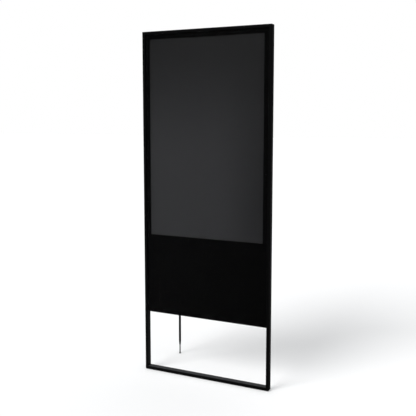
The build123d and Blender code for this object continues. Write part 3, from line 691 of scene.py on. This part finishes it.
# ---- rubber strip under the bottom rail: carried section with ribs underneath
stripShape = {"ribs": 6, "groove": 0.9 * mm, "edge": 0.8 * mm, "shoulder": 0.3 * mm}


def ribbedStrip():
    # underside = groove * clipped |sin(pi * ribs * y / width)|
    low, high = nodeBox("base_strip")
    half, thick = (high[1] - low[1]) / 2, high[2] - low[2]
    edge, shoulder = stripShape["edge"], stripShape["shoulder"]
    y = np.linspace(-half + edge, half - edge, 73)
    phase = (y + half) / (2 * half) * stripShape["ribs"]
    under = stripShape["groove"] * np.clip(1.6 * np.abs(np.sin(phase * math.pi)) - 0.9, 0, 0.6) / 0.6
    right = arc(half - edge, edge, edge, -90, 0, 5)
    top = np.array([
        (half, thick - shoulder), (half - shoulder, thick),
        (-half + shoulder, thick), (-half, thick - shoulder),
    ])
    left = arc(-half + edge, edge, edge, 180, 270, 5)
    profile = np.concatenate([np.stack([y, under], axis=1)[1:-1], right, top, left])
    xs = np.linspace(low[0], high[0], 40)
    path = np.stack([xs, 0 * xs + (low[1] + high[1]) / 2, 0 * xs + low[2]], axis=1)
    return carried(profile, path, (0, 1, 0), (0, 0, 1))


addPiece("footingStrip", "base_strip", ribbedStrip())

# ---- front glass: one slab with pencil-ground edges
glassShape = {"groundEdge": 0.8 * mm, "backGap": 0.12 * mm}
glassLow, glassHigh = nodeBox("touch_glass")
glassHigh[1] -= glassShape["backGap"]  # keeps the clear back face just off the print
addPiece("frontGlass", "touch_glass", softBlock(glassLow, glassHigh, glassShape["groundEdge"]))
print("frame, strip and glass made")


# ---- pressed sheet trays: rear housing and service door
def slotLoop(x, z, length, height, steps=7):
    # stadium outline: two half circles of the slot's height
    r = height / 2
    reach = length / 2 - r
    return np.concatenate([arc(x + reach, z, r, -90, 90, steps), arc(x - reach, z, r, 90, 270, steps)])


def circleLoop(x, z, radius, steps=32):
    t = np.linspace(0, 2 * math.pi, steps, endpoint=False)
    return np.stack([x + radius * np.cos(t), z + radius * np.sin(t)], axis=1)


def pressedTray(low, high, mouth, back, corner, edge, flange, holes):
    # the outline carried along (inset, y): flange, wall, quarter-round back edge, then a flat filled back
    middle, half = (low + high) / 2, (high - low) / 2
    way = [(0.0, mouth)]
    if flange:
        way = [(-flange, mouth), (-1.2 * mm, mouth), (-0.35 * mm, mouth + 0.35 * mm), (0.0, mouth + 1.2 * mm)]
    way += [(inset, back - edge + y) for inset, y in arc(edge, 0.0, edge, 180, 90, 7).tolist()]
    way += [(edge + 0.8 * mm, back)]  # holds the flat's shading flat
    rings = []
    for inset, y in way:
        loop = roundedLoop(half[0] - inset, half[2] - inset, max(corner - inset, 0.4 * mm))
        x, z = loop[:, 0] + middle[0], loop[:, 1] + middle[2]
        rings.append(np.stack([x, np.full(len(loop), y), z], axis=1))
    grid = np.stack(rings)
    shell = (grid.reshape(-1, 3), gridFaces(*grid.shape[:2], wrapCols=True).tolist())
    flatPoints, flatFaces = filledPlate(rings[-1][:, (0, 2)], holes)
    plate = np.stack([flatPoints[:, 0], np.full(len(flatPoints), back), flatPoints[:, 1]], axis=1)
    return joinShells([shell, (plate, flatFaces)])


def sheetPiece(name, node, shell, wall):
    # sheet metal: the outer skin gets its wall inwards
    piece = makePiece(name, *shell, finish[nodeSlot[node]], sharpAngle=38)
    bm = bmesh.new()
    bm.from_mesh(piece.data)
    backMost = max(bm.faces, key=lambda f: f.calc_center_median().y)
    if backMost.normal.y < 0:  # the flat back faces +Y, and the rest follows it
        bmesh.ops.reverse_faces(bm, faces=bm.faces)
    for rim in [e for e in bm.edges if e.is_boundary]:
        rim.smooth = False
    bm.to_mesh(piece.data)
    bm.free()
    skin = piece.modifiers.new("sheetWall", "SOLIDIFY")
    skin.thickness = wall
    skin.offset = -1
    skin.use_even_offset = True
    standFor(piece, node)


housing = {
    "corner": 14 * mm, "edge": 6 * mm, "flange": 12 * mm, "wall": 1.5 * mm,
    "slotLength": 70 * mm, "slotHeight": 4 * mm, "slotPitch": 9.5 * mm, "slotCount": 8,
    "coneToCase": 48 / 70,  # a speaker's height over its width
}
coverLow, coverHigh = nodeBox("rear_cover")
rim = np.array([housing["flange"], 0, housing["flange"]])
fanX, _, fanZ = jointPlace["right_fan_spin"]
speakerLow, speakerHigh = nodeBox("speakers")
speakerZ = (speakerLow[2] + speakerHigh[2]) / 2
speakerX = speakerHigh[0] - (speakerHigh[2] - speakerLow[2]) / housing["coneToCase"]
fields = [(side * x, z) for x, z in ((fanX, fanZ), (speakerX, speakerZ)) for side in (-1, 1)]
slotRows = (np.arange(housing["slotCount"]) - (housing["slotCount"] - 1) / 2) * housing["slotPitch"]
vents = [
    slotLoop(x, z + row, housing["slotLength"], housing["slotHeight"]) for x, z in fields for row in slotRows
]
sheetPiece(
    "rearHousing", "rear_cover",
    pressedTray(coverLow + rim, coverHigh - rim, coverLow[1] + housing["wall"], coverHigh[1],
                housing["corner"], housing["edge"], housing["flange"], vents),
    housing["wall"],
)

door = {"corner": 2.5 * mm, "edge": 1.8 * mm, "wall": 1.5 * mm, "lockHole": 9.3 * mm}
doorLow, doorHigh = nodeBox("service_door")
lockX, _, lockZ = jointPlace["lock_turn"]
sheetPiece(
    "serviceDoorPanel", "service_door",
    pressedTray(doorLow, doorHigh, doorLow[1], doorHigh[1], door["corner"], door["edge"], 0,
                [circleLoop(lockX, lockZ, door["lockHole"])]),
    door["wall"],
)
print("housing and door made")

# ---- screws: domed heads with a six-sided socket
screwHead = {
    "radius": 3.8 * mm, "height": 2.4 * mm, "socket": 1.45 * mm, "socketDepth": 1.3 * mm, "shank": 2 * mm,
    "group": 20 * mm,
}


def socketScrew(centre, tip):
    # head turned about Y; the socket's radius follows a hexagon, cos(30) / cos((t mod 60) - 30)
    steps = 24
    t = np.linspace(0, 2 * math.pi, steps, endpoint=False)
    hexagon = math.cos(math.pi / 6) / np.cos(np.mod(t, math.pi / 3) - math.pi / 6)
    head, h, s, depth, shank = (screwHead[k] for k in ("radius", "height", "socket", "socketDepth", "shank"))
    turnedRows = [(shank, tip), (shank, 0.0), (head, 0.0), (head, 0.35 * h), (0.9 * head, 0.72 * h),
                  (0.68 * head, 0.95 * h), (0.5 * head, h)]
    sixSided = [(s * 1.12, h), (s, h - 0.15 * mm), (s, h - depth)]
    rows = np.array(turnedRows + sixSided)
    r, y = rows[:, :1] * np.ones(steps), rows[:, 1:]
    r[len(turnedRows):] *= hexagon
    points = np.stack([centre[0] + r * np.cos(t), centre[1] + y + 0 * r, centre[2] + r * np.sin(t)], axis=-1)
    return points.reshape(-1, 3), tubeFaces(*r.shape)


def screwPlaces(node):
    # the middle of each loose screw of a CAD node, found by grouping its vertices in the XZ plane
    points = np.array([v.co for v in frame["nodes"][node].data.vertices])
    seat = points[:, 1].max() - screwHead["height"]
    cells = {}
    for p in points:
        key = (round(p[0] / screwHead["group"]), round(p[2] / screwHead["group"]))
        near = next((k for k in cells if abs(k[0] - key[0]) <= 1 and abs(k[1] - key[1]) <= 1), key)
        cells.setdefault(near, []).append(p)
    middles = [(np.min(c, axis=0) + np.max(c, axis=0)) / 2 for c in cells.values()]
    return [np.array([x, seat, z]) for x, _, z in middles], points[:, 1].min() - seat


for node, name in (("cover_screws", "coverScrews"), ("bracket_screws", "bracketScrews")):
    places, tip = screwPlaces(node)
    addPiece(name, node, joinShells([socketScrew(place, tip) for place in places]), 30)
    print(name, len(places))

# ---- rear leg: arms, tube, cap, taper, threaded rod and pad
leg = {
    "armThickness": 6 * mm, "armEdge": 1.2 * mm, "collar": 2 * mm, "eye": 8 * mm, "eyeBore": 4.05 * mm,
    "barStart": 6.5 * mm, "barEnd": 7.2 * mm, "weldSwell": 0.35, "tubeBore": 5 * mm, "taperEnd": 4.7 * mm,
    "rodBore": 3.98 * mm, "pitch": 1.25 * mm, "threadDepth": 0.45 * mm, "steps": 40,
}
legAxis = jointPlace["leg_swing"]
tubeLow, tubeHigh = nodeBox("leg_tube")
legX, legY = (tubeLow[0] + tubeHigh[0]) / 2, (tubeLow[1] + tubeHigh[1]) / 2
legRadius = (tubeHigh[0] - tubeLow[0]) / 2
legCentre = (legX, legY, 0)
armWay = np.array([legX - legAxis[0], legY - legAxis[1], 0])
armReach = float(np.linalg.norm(armWay))
armDirection = armWay / armReach
armSide = np.array([-armDirection[1], armDirection[0], 0])


def ringProfile(inner, outer, low, high, ease):
    # section of a ring with its four edges eased
    return np.array([
        (inner, low + ease), (inner + ease, low), (outer - ease, low), (outer, low + ease),
        (outer, high - ease), (outer - ease, high), (inner + ease, high), (inner, high - ease),
    ])


def legArm(node):
    low, high = nodeBox(node)
    eyeSection = ringProfile(leg["eyeBore"], leg["eye"], low[2], high[2], 0.5 * mm)
    eye = turned(eyeSection, (legAxis[0], legAxis[1], 0), steps=leg["steps"], closed=True)
    collarSection = ringProfile(legRadius + 0.02 * mm, legRadius + leg["collar"], low[2], high[2], 0.6 * mm)
    collar = turned(collarSection, legCentre, steps=leg["steps"], closed=True)
    profile = roundedLoop(leg["armThickness"] / 2, (high[2] - low[2]) / 2 - 0.6 * mm, leg["armEdge"], 5)
    # the bar swells by exp(-distance from the weld) where it meets the eye and the collar
    s = np.concatenate([
        np.linspace(leg["barStart"], 16 * mm, 6), np.linspace(20 * mm, armReach - 20 * mm, 5),
        np.linspace(armReach - 16 * mm, armReach - leg["barEnd"], 6),
    ])
    fromWeld = np.minimum(s - leg["barStart"], armReach - leg["barEnd"] - s)
    swell = 1 + leg["weldSwell"] * np.exp(-fromWeld / (2.0 * mm))
    path = legAxis * (1, 1, 0) + s[:, None] * armDirection + np.array([0, 0, (low[2] + high[2]) / 2])
    bar = carried(profile, path, armSide * swell[:, None], (0, 0, 1))
    return joinShells([eye, collar, bar])


for node, name in (("lower_arm", "lowerLegArm"), ("upper_arm", "upperLegArm")):
    addPiece(name, node, legArm(node))

tubeProfile = ringProfile(leg["tubeBore"], legRadius, tubeLow[2], tubeHigh[2], 0.3 * mm)
addPiece("legUpright", "leg_tube", turned(tubeProfile, legCentre, steps=leg["steps"], closed=True))
capFoot, capTop = (end[2] for end in nodeBox("leg_cap"))
capSeat = tubeHigh[2]
capProfile = [
    (0, capFoot), (4.8 * mm, capFoot), (4.95 * mm, capFoot + 0.4 * mm), (4.95 * mm, capSeat),
    (legRadius, capSeat), (legRadius, capSeat + 1.0 * mm), (legRadius - 0.5 * mm, capSeat + 2.0 * mm),
    (legRadius - 1.6 * mm, capTop - 0.3 * mm), (legRadius - 3.2 * mm, capTop), (0, capTop),
]
addPiece("legTubeCap", "leg_cap", turned(capProfile, legCentre, steps=leg["steps"]))

# the taper's radius rises from its end to the tube's as (0.5 - 0.5 cos(pi t)) ^ 0.9
taperFoot, plugTop = (end[2] for end in nodeBox("leg_ferrule"))
taperTop = tubeLow[2]
t = np.linspace(0, 1, 14)
rise = (0.5 - 0.5 * np.cos(math.pi * t)) ** 0.9
taperRadius = leg["taperEnd"] + (legRadius - leg["taperEnd"]) * rise
taper = np.stack([taperRadius, taperFoot + t * (taperTop - taperFoot)], axis=1)
plugRadius = leg["tubeBore"] - 0.03 * mm
ferruleProfile = np.concatenate([
    [(leg["rodBore"], taperFoot + 0.4 * mm), (4.2 * mm, taperFoot)], taper,
    [(plugRadius, taperTop), (plugRadius, plugTop), (leg["rodBore"], plugTop)],
])
addPiece("legTaper", "leg_ferrule", turned(ferruleProfile, legCentre, steps=leg["steps"], closed=True))


def threadedRod():
    # radius = outer - depth * triangle wave of (height / pitch - turn), a single-start thread
    low, high = nodeBox("foot_rod")
    outer = (high[0] - low[0]) / 2
    rows = np.linspace(low[2], high[2], int((high[2] - low[2]) / leg["pitch"] * 8) + 1)[:, None]
    turn = np.linspace(0, 1, 24, endpoint=False)[None, :]
    wave = np.abs(np.mod(rows / leg["pitch"] - turn, 1.0) * 2 - 1)
    ends = np.clip(np.minimum(rows - low[2], high[2] - rows) / (1.5 * mm), 0, 1)
    r = outer - leg["threadDepth"] * (wave * ends + (1 - ends))
    t = 2 * math.pi * turn
    points = np.stack([legX + r * np.cos(t), legY + r * np.sin(t), rows + 0 * r], axis=-1)
    return points.reshape(-1, 3), tubeFaces(*r.shape)


addPiece("levellingRod", "foot_rod", threadedRod(), 60)
padLow, padHigh = nodeBox("foot_pad")
padRadius, padTop = (padHigh[0] - padLow[0]) / 2, padHigh[2]
padProfile = [
    (0, 0), (padRadius - 1.4 * mm, 0), (padRadius - 0.5 * mm, 0.15 * mm), (padRadius, 0.8 * mm),
    (padRadius, 2.4 * mm), (padRadius - 0.5 * mm, 3.4 * mm), (padRadius - 1.8 * mm, 4.3 * mm),
    (padRadius - 2.4 * mm, padTop), (0, padTop),
]
addPiece("levellingPad", "foot_pad", turned(padProfile, legCentre, steps=leg["steps"]))

# ---- clamp knob: lobes, r = row radius + lobe share * swing * cos(5 t), drawn in at top and bottom
knob = {"swing": 1.9 * mm, "lobes": 5, "stem": 13 * mm, "steps": 80}


def lobedKnob():
    low, high = nodeBox("clamp_knob")
    foot, top, seat = low[2] / mm, high[2] / mm, (low[2] + knob["stem"]) / mm
    # radius, height, lobe share
    rows = np.array([
        (6.0, foot, 0), (6.2, foot + 0.3, 0), (6.2, seat - 0.6, 0), (6.8, seat, 0.3), (9.4, seat, 0.85),
        (10.2, seat + 0.5, 0.95), (10.6, seat + 1.5, 1), (10.6, top - 3.2, 1), (10.3, top - 1.9, 0.97),
        (9.6, top - 0.9, 0.9), (8.2, top - 0.25, 0.7), (6.0, top, 0.3), (3.4, top - 0.05, 0),
        (3.0, top - 0.7, 0), (0, top - 0.7, 0),
    ])
    t = np.linspace(0, 2 * math.pi, knob["steps"], endpoint=False)
    r = rows[:, :1] * mm + rows[:, 2:] * knob["swing"] * np.cos(knob["lobes"] * t)
    x, y = legAxis[0] + r * np.cos(t), legAxis[1] + r * np.sin(t)
    points = np.stack([x, y, rows[:, 1:2] * mm + 0 * r], axis=-1)
    faces = gridFaces(*r.shape, wrapCols=True).tolist() + [list(range(knob["steps"]))]
    return points.reshape(-1, 3), faces


addPiece("clampKnob", "clamp_knob", lobedKnob(), 40)
print("leg made")

# ---- fans: twisted blades on a hub, and square frames with round bores
fan = {
    "blades": 7, "hubRadius": 17 * mm, "tipRadius": 36 * mm, "hubPitch": 52, "tipPitch": 30, "chord": 8 * mm,
    "widening": 4.5 * mm, "camber": 1.2 * mm, "halfThick": 0.5 * mm, "halfFrame": 40 * mm,
    "corner": 53.5 * mm, "waist": 43 * mm, "bore": 38 * mm, "flangeDepth": 4 * mm, "boss": 16 * mm,
    "strutFrom": 35,
}


def fanRotor(node):
    # blade point at radius r and chord c: turned round by c * cos(pitch) / r, raised by c * sin(pitch)
    low, high = nodeBox(node)
    foot, top, rim = low[1], high[1], fan["hubRadius"]
    cx, _, cz = jointPlace[node.replace("fan_rotor_", "") + "_fan_spin"]
    midDepth, reach = (foot + top) / 2, (top - foot) / 2 - 0.5 * mm
    s = np.linspace(0, 1, 9)[:, None]
    c = np.linspace(-1, 1, 9)[None, :]
    r = rim * 0.97 + s * (fan["tipRadius"] - rim * 0.97)
    pitch = np.radians(fan["hubPitch"] + s * (fan["tipPitch"] - fan["hubPitch"]))
    half = fan["chord"] + fan["widening"] * s
    turn = c * half * np.cos(pitch) / r
    lift = c * half * np.sin(pitch) + fan["camber"] * (1 - c ** 2)
    shells = []
    for start in np.arange(fan["blades"]) * 2 * math.pi / fan["blades"]:
        sides = []
        for thick in (fan["halfThick"], -fan["halfThick"]):
            rise = np.clip(lift + thick * (1 - 0.6 * c ** 2), -reach, reach)
            sides.append(np.stack(
                [cx + r * np.cos(start + turn), midDepth + rise, cz + r * np.sin(start + turn)], axis=-1))
        loop = np.concatenate([sides[0], sides[1][:, ::-1]], axis=1)
        shells.append((loop.reshape(-1, 3), tubeFaces(*loop.shape[:2])))
    hub = [
        (0, foot), (rim - 0.6 * mm, foot), (rim, foot + 0.6 * mm), (rim, top - 2 * mm),
        (rim - 0.6 * mm, top - 0.8 * mm), (rim - 2 * mm, top - 0.1 * mm), (rim - 5 * mm, top),
        (rim - 6 * mm, top - 0.5 * mm), (0, top - 0.5 * mm),
    ]
    return joinShells([*shells, turned(hub, (cx, 0, cz), axis="y", steps=48)])


for node, name in (("fan_rotor_left", "leftFanRotor"), ("fan_rotor_right", "rightFanRotor")):
    addPiece(name, node, fanRotor(node))


def fanFrame(x, low, high):
    # between round bore and square: outer radius = half / max(|cos|, |sin|), cut off at the corners
    steps = 96
    t = np.linspace(0, 2 * math.pi, steps, endpoint=False)
    square = fan["halfFrame"] / np.maximum(np.abs(np.cos(t)), np.abs(np.sin(t)))
    outer = np.minimum(square, fan["corner"])
    waist = np.minimum(outer, fan["waist"])
    bore = np.full_like(t, fan["bore"])
    edge, flange = 0.5 * mm, fan["flangeDepth"]
    rows = [
        (bore, low + 0.6 * mm), (bore + 0.6 * mm, low), (outer - edge, low), (outer, low + edge),
        (outer, low + flange), (waist, low + flange + 0.2 * mm), (waist, high - flange - 0.2 * mm),
        (outer, high - flange), (outer, high - edge), (outer - edge, high), (bore + 1.2 * mm, high),
        (bore, high - 1.5 * mm),
    ]
    r = np.stack([row[0] for row in rows])
    y = np.array([row[1] for row in rows])[:, None]
    points = np.stack([x + r * np.cos(t), y + 0 * r, fanZ + r * np.sin(t)], axis=-1)
    return points.reshape(-1, 3), gridFaces(*r.shape, wrapRows=True, wrapCols=True).tolist()


fanFoot, fanTop = (end[1] for end in nodeBox("fan_frames"))
boss = [
    (0, fanFoot), (fan["boss"] - 1 * mm, fanFoot), (fan["boss"], fanFoot + 1 * mm),
    (fan["boss"], fanFoot + 3.6 * mm), (0, fanFoot + 3.6 * mm),
]
strut = roundedLoop(2.2 * mm, 1.6 * mm, 0.8 * mm, 4)
frames = []
for x in (-fanX, fanX):
    frames += [fanFrame(x, fanFoot, fanTop), turned(boss, (x, 0, fanZ), "y", 40)]
    for turn in np.radians(fan["strutFrom"] + 90 * np.arange(4)):
        way = np.array([math.cos(turn), 0, math.sin(turn)])
        path = np.array([x, fanFoot + 1.8 * mm, fanZ]) + np.linspace(14 * mm, 39 * mm, 4)[:, None] * way
        frames.append(carried(strut, path, np.cross(way, (0, 1, 0)), (0, 1, 0)))
addPiece("fanHousings", "fan_frames", joinShells(frames), 28)

# ---- media player: finned case with end plates
player = {
    "fins": 18, "finDepth": 5 * mm, "finWidth": 0.52, "finTip": 0.8, "side": 6 * mm, "edge": 1 * mm,
    "endPlate": 2 * mm,
}


def finnedPlayer():
    # the case's section across X has tapered fins on its door side, carried up its height
    low, high = nodeBox("media_player")
    crown, edge = high[1] - player["finDepth"], player["edge"]
    xs = np.linspace(low[0] + player["side"], high[0] - player["side"], player["fins"] + 1)
    pitch = xs[1] - xs[0]
    half = pitch * player["finWidth"] / 2
    tip = half * player["finTip"]
    left, right = low[0], high[0]
    section = [(left + edge, low[1]), (left, low[1] + edge), (left, crown - edge), (left + edge, crown)]
    for x in xs[:-1] + pitch / 2:
        section += [(x - half, crown), (x - tip, high[1]), (x + tip, high[1]), (x + half, crown)]
    section += [(right - edge, crown), (right, crown - edge), (right, low[1] + edge), (right - edge, low[1])]
    plate = player["endPlate"]
    path = np.array([[0, 0, low[2] + plate], [0, 0, high[2] - plate]])
    ends = [
        softBlock((low[0], low[1], z), (high[0], crown + edge, z + plate), 0.6 * mm, 3)
        for z in (low[2], high[2] - plate)
    ]
    return joinShells([carried(section, path, (1, 0, 0), (0, 1, 0)), *ends])


addPiece("mediaPlayerCase", "media_player", finnedPlayer(), 25)

# ---- standby button and its bezel: turned about Y, with a dished cap
button = {"bore": 7.05 * mm, "barrel": 9 * mm, "rimDepth": 2 * mm, "steps": 48}
bezelLow, bezelHigh = nodeBox("button_bezel")
buttonCentre = ((bezelLow[0] + bezelHigh[0]) / 2, 0, (bezelLow[2] + bezelHigh[2]) / 2)
rimRadius, foot, face = (bezelHigh[0] - bezelLow[0]) / 2, bezelLow[1], bezelHigh[1]
bezelProfile = [
    (button["bore"], foot + 2 * mm), (button["barrel"], foot), (button["barrel"], face - button["rimDepth"]),
    (rimRadius, face - button["rimDepth"]), (rimRadius, face - 1.3 * mm),
    (rimRadius - 0.7 * mm, face - 0.35 * mm), (rimRadius - 1.8 * mm, face),
    (button["bore"] + 0.55 * mm, face), (button["bore"], face - 0.6 * mm),
]
addPiece("buttonBezel", "button_bezel", turned(bezelProfile, buttonCentre, "y", button["steps"], closed=True))
buttonLow, buttonHigh = nodeBox("standby_button")
capRadius, foot, face = (buttonHigh[0] - buttonLow[0]) / 2, buttonLow[1], buttonHigh[1]
capProfile = [
    (0, foot), (capRadius, foot), (capRadius, face - 0.9 * mm), (capRadius - 0.35 * mm, face - 0.25 * mm),
    (capRadius - 1.2 * mm, face), (capRadius - 2.4 * mm, face - 0.2 * mm), (0, face - 0.6 * mm),
]
addPiece("standbyButton", "standby_button", turned(capProfile, buttonCentre, "y", button["steps"]))
print("fans, player and button made")

# ---- small machined and moulded parts keep their CAD shape with their edges broken, by these widths in mm
brokenEdge = {
    "connection_plate": 0.3, "power_inlet": 0.5, "inlet_blades": 0.25, "switch_frame": 0.4,
    "switch_rocker": 0.6, "door_hinge_fixed_leaves": 0.35, "door_hinge_door_leaves": 0.35,
    "door_hinge_pins": 0.4, "lock_body": 0.4, "lock_nut": 0.3, "lock_plug": 0.25, "lock_cam": 0.4,
    "lock_keeper": 0.3, "leg_brackets": 0.6, "leg_pivot_pin": 0.4, "clamp_screw": 0.4, "speakers": 0.6,
    "power_supply": 0.5, "touch_controller": 0.5, "board_components": 0.2, "driver_board": 0.2,
    "mains_cable": 0, "signal_cable": 0, "board_standoffs": 0.2,
}
for node, width in brokenEdge.items():
    softened(node, width * mm)
print("small parts softened")

# ---- floor, light and camera; "mirrored" values are what gloss sees, ramps are (start, end) of a smooth rise
studio = {
    "sunStrength": 2.05, "sunAngle": 34, "sunAzimuth": 24, "sunElevation": 38, "skyStrength": 0.85,
    "floor": 0.86, "floorReach": 40.0, "mirroredFloor": (0.06, 0.60), "floorRamp": (-0.9, 0.6),
    "mirroredBack": 0.9,
    "mirroredFront": 0.5, "mirroredDark": 0.02, "behindRamp": (-0.6, 0.1), "aboveRamp": (0.05, 0.4),
    "lowRamp": (0.0, 0.12), "leftRamp": (-0.16, 0.10),
}
view = {"place": (1.3463, -2.9342, 1.3949), "heading": 24.422, "down": 6.0, "lens": 53.865, "shift": -0.0581}


def leftLean(tree, parts):
    # how far a place or a direction lies to the left of the line that runs forwards and slightly left
    return mathNode(tree, "MULTIPLY_ADD", parts["Y"], 0.4, mathNode(tree, "MULTIPLY", parts["X"], -1.0))


def makeFloor():
    # pale floor; in gloss it is darker on the right, as if black cloth hung beside the set
    mesh = bpy.data.meshes.new("studioFloor")
    reach = studio["floorReach"]
    corners = [(-reach, -reach, 0), (reach, -reach, 0), (reach, reach, 0), (-reach, reach, 0)]
    mesh.from_pydata(corners, [], [(0, 1, 2, 3)])
    floor = bpy.data.objects.new("studioFloor", mesh)
    bpy.context.scene.collection.objects.link(floor)
    material, tree, shader = newMaterial("paleFloor", Roughness=0.8, Specular_IOR_Level=0.0)
    dim, lit = studio["mirroredFloor"]
    lean = leftLean(tree, splitParts(tree, objectPlace(tree)))
    mirrored = easedStep(tree, lean, *studio["floorRamp"], dim, lit)
    path = tree.nodes.new("ShaderNodeLightPath")
    tone = mixColour(tree, path.outputs["Is Glossy Ray"], (studio["floor"],) * 3, (lit,) * 3)
    tree.links.new(mirrored, tone.inputs[7])
    tree.links.new(tone.outputs[2], shader.inputs["Base Color"])
    mesh.materials.append(material)


def makeSky():
    # white to the camera, even to the floor; in gloss bright above and behind, with a low glow front left
    world = bpy.data.worlds.new("studioWorld")
    bpy.context.scene.world = world
    world.use_nodes = True
    tree = world.node_tree
    even = tree.nodes["Background"]
    even.inputs["Color"].default_value = (0.98, 0.99, 1.0, 1)
    even.inputs["Strength"].default_value = studio["skyStrength"]
    seen = addNode(tree, "ShaderNodeBackground", Color=(1, 1, 1, 1), Strength=1.0)
    mirrored = addNode(tree, "ShaderNodeBackground", Color=(0.93, 0.96, 1.0, 1))
    direction = splitParts(tree, tree.nodes.new("ShaderNodeTexCoord").outputs["Generated"])
    behind = easedStep(tree, direction["Y"], *studio["behindRamp"])
    above = easedStep(tree, direction["Z"], *studio["aboveRamp"], 0.0, studio["mirroredBack"])
    low = easedStep(tree, direction["Z"], *studio["lowRamp"], studio["mirroredFront"], 0.0)
    left = easedStep(tree, leftLean(tree, direction), *studio["leftRamp"])
    ahead = mathNode(tree, "SUBTRACT", 1.0, behind)
    glow = mathNode(tree, "MULTIPLY", mathNode(tree, "MULTIPLY", low, left), ahead)
    strength = mathNode(tree, "MULTIPLY_ADD", above, behind, glow)
    tree.links.new(mathNode(tree, "ADD", strength, studio["mirroredDark"]), mirrored.inputs["Strength"])
    path = tree.nodes.new("ShaderNodeLightPath")
    last = even
    for label, other in (("Is Glossy Ray", mirrored), ("Is Camera Ray", seen)):
        mix = tree.nodes.new("ShaderNodeMixShader")
        tree.links.new(path.outputs[label], mix.inputs[0])
        tree.links.new(last.outputs[0], mix.inputs[1])
        tree.links.new(other.outputs[0], mix.inputs[2])
        last = mix
    tree.links.new(last.outputs[0], tree.nodes["World Output"].inputs["Surface"])


def makeSun():
    sun = bpy.data.lights.new("keySun", "SUN")
    sun.energy = studio["sunStrength"]
    sun.angle = math.radians(studio["sunAngle"])
    key = bpy.data.objects.new("keySun", sun)
    turn = Matrix.Rotation(math.radians(-studio["sunAzimuth"]), 4, "Z")
    tilt = Matrix.Rotation(math.radians(90 - studio["sunElevation"]), 4, "X")
    key.matrix_world = turn @ tilt
    bpy.context.scene.collection.objects.link(key)


def makeCamera():
    # a slight look down, with the rest of the framing taken by the shift
    camera = bpy.data.cameras.new("viewCamera")
    camera.lens = view["lens"]
    camera.sensor_width = 36
    camera.shift_y = view["shift"]
    camera.clip_end = 200
    holder = bpy.data.objects.new("viewCamera", camera)
    holder.location = view["place"]
    holder.rotation_euler = (math.radians(90 - view["down"]), 0, math.radians(view["heading"]))
    bpy.context.scene.collection.objects.link(holder)
    bpy.context.scene.camera = holder


makeFloor()
makeSky()
makeSun()
makeCamera()
bpy.context.scene.view_settings.view_transform = "Standard"
print("studio and camera made")
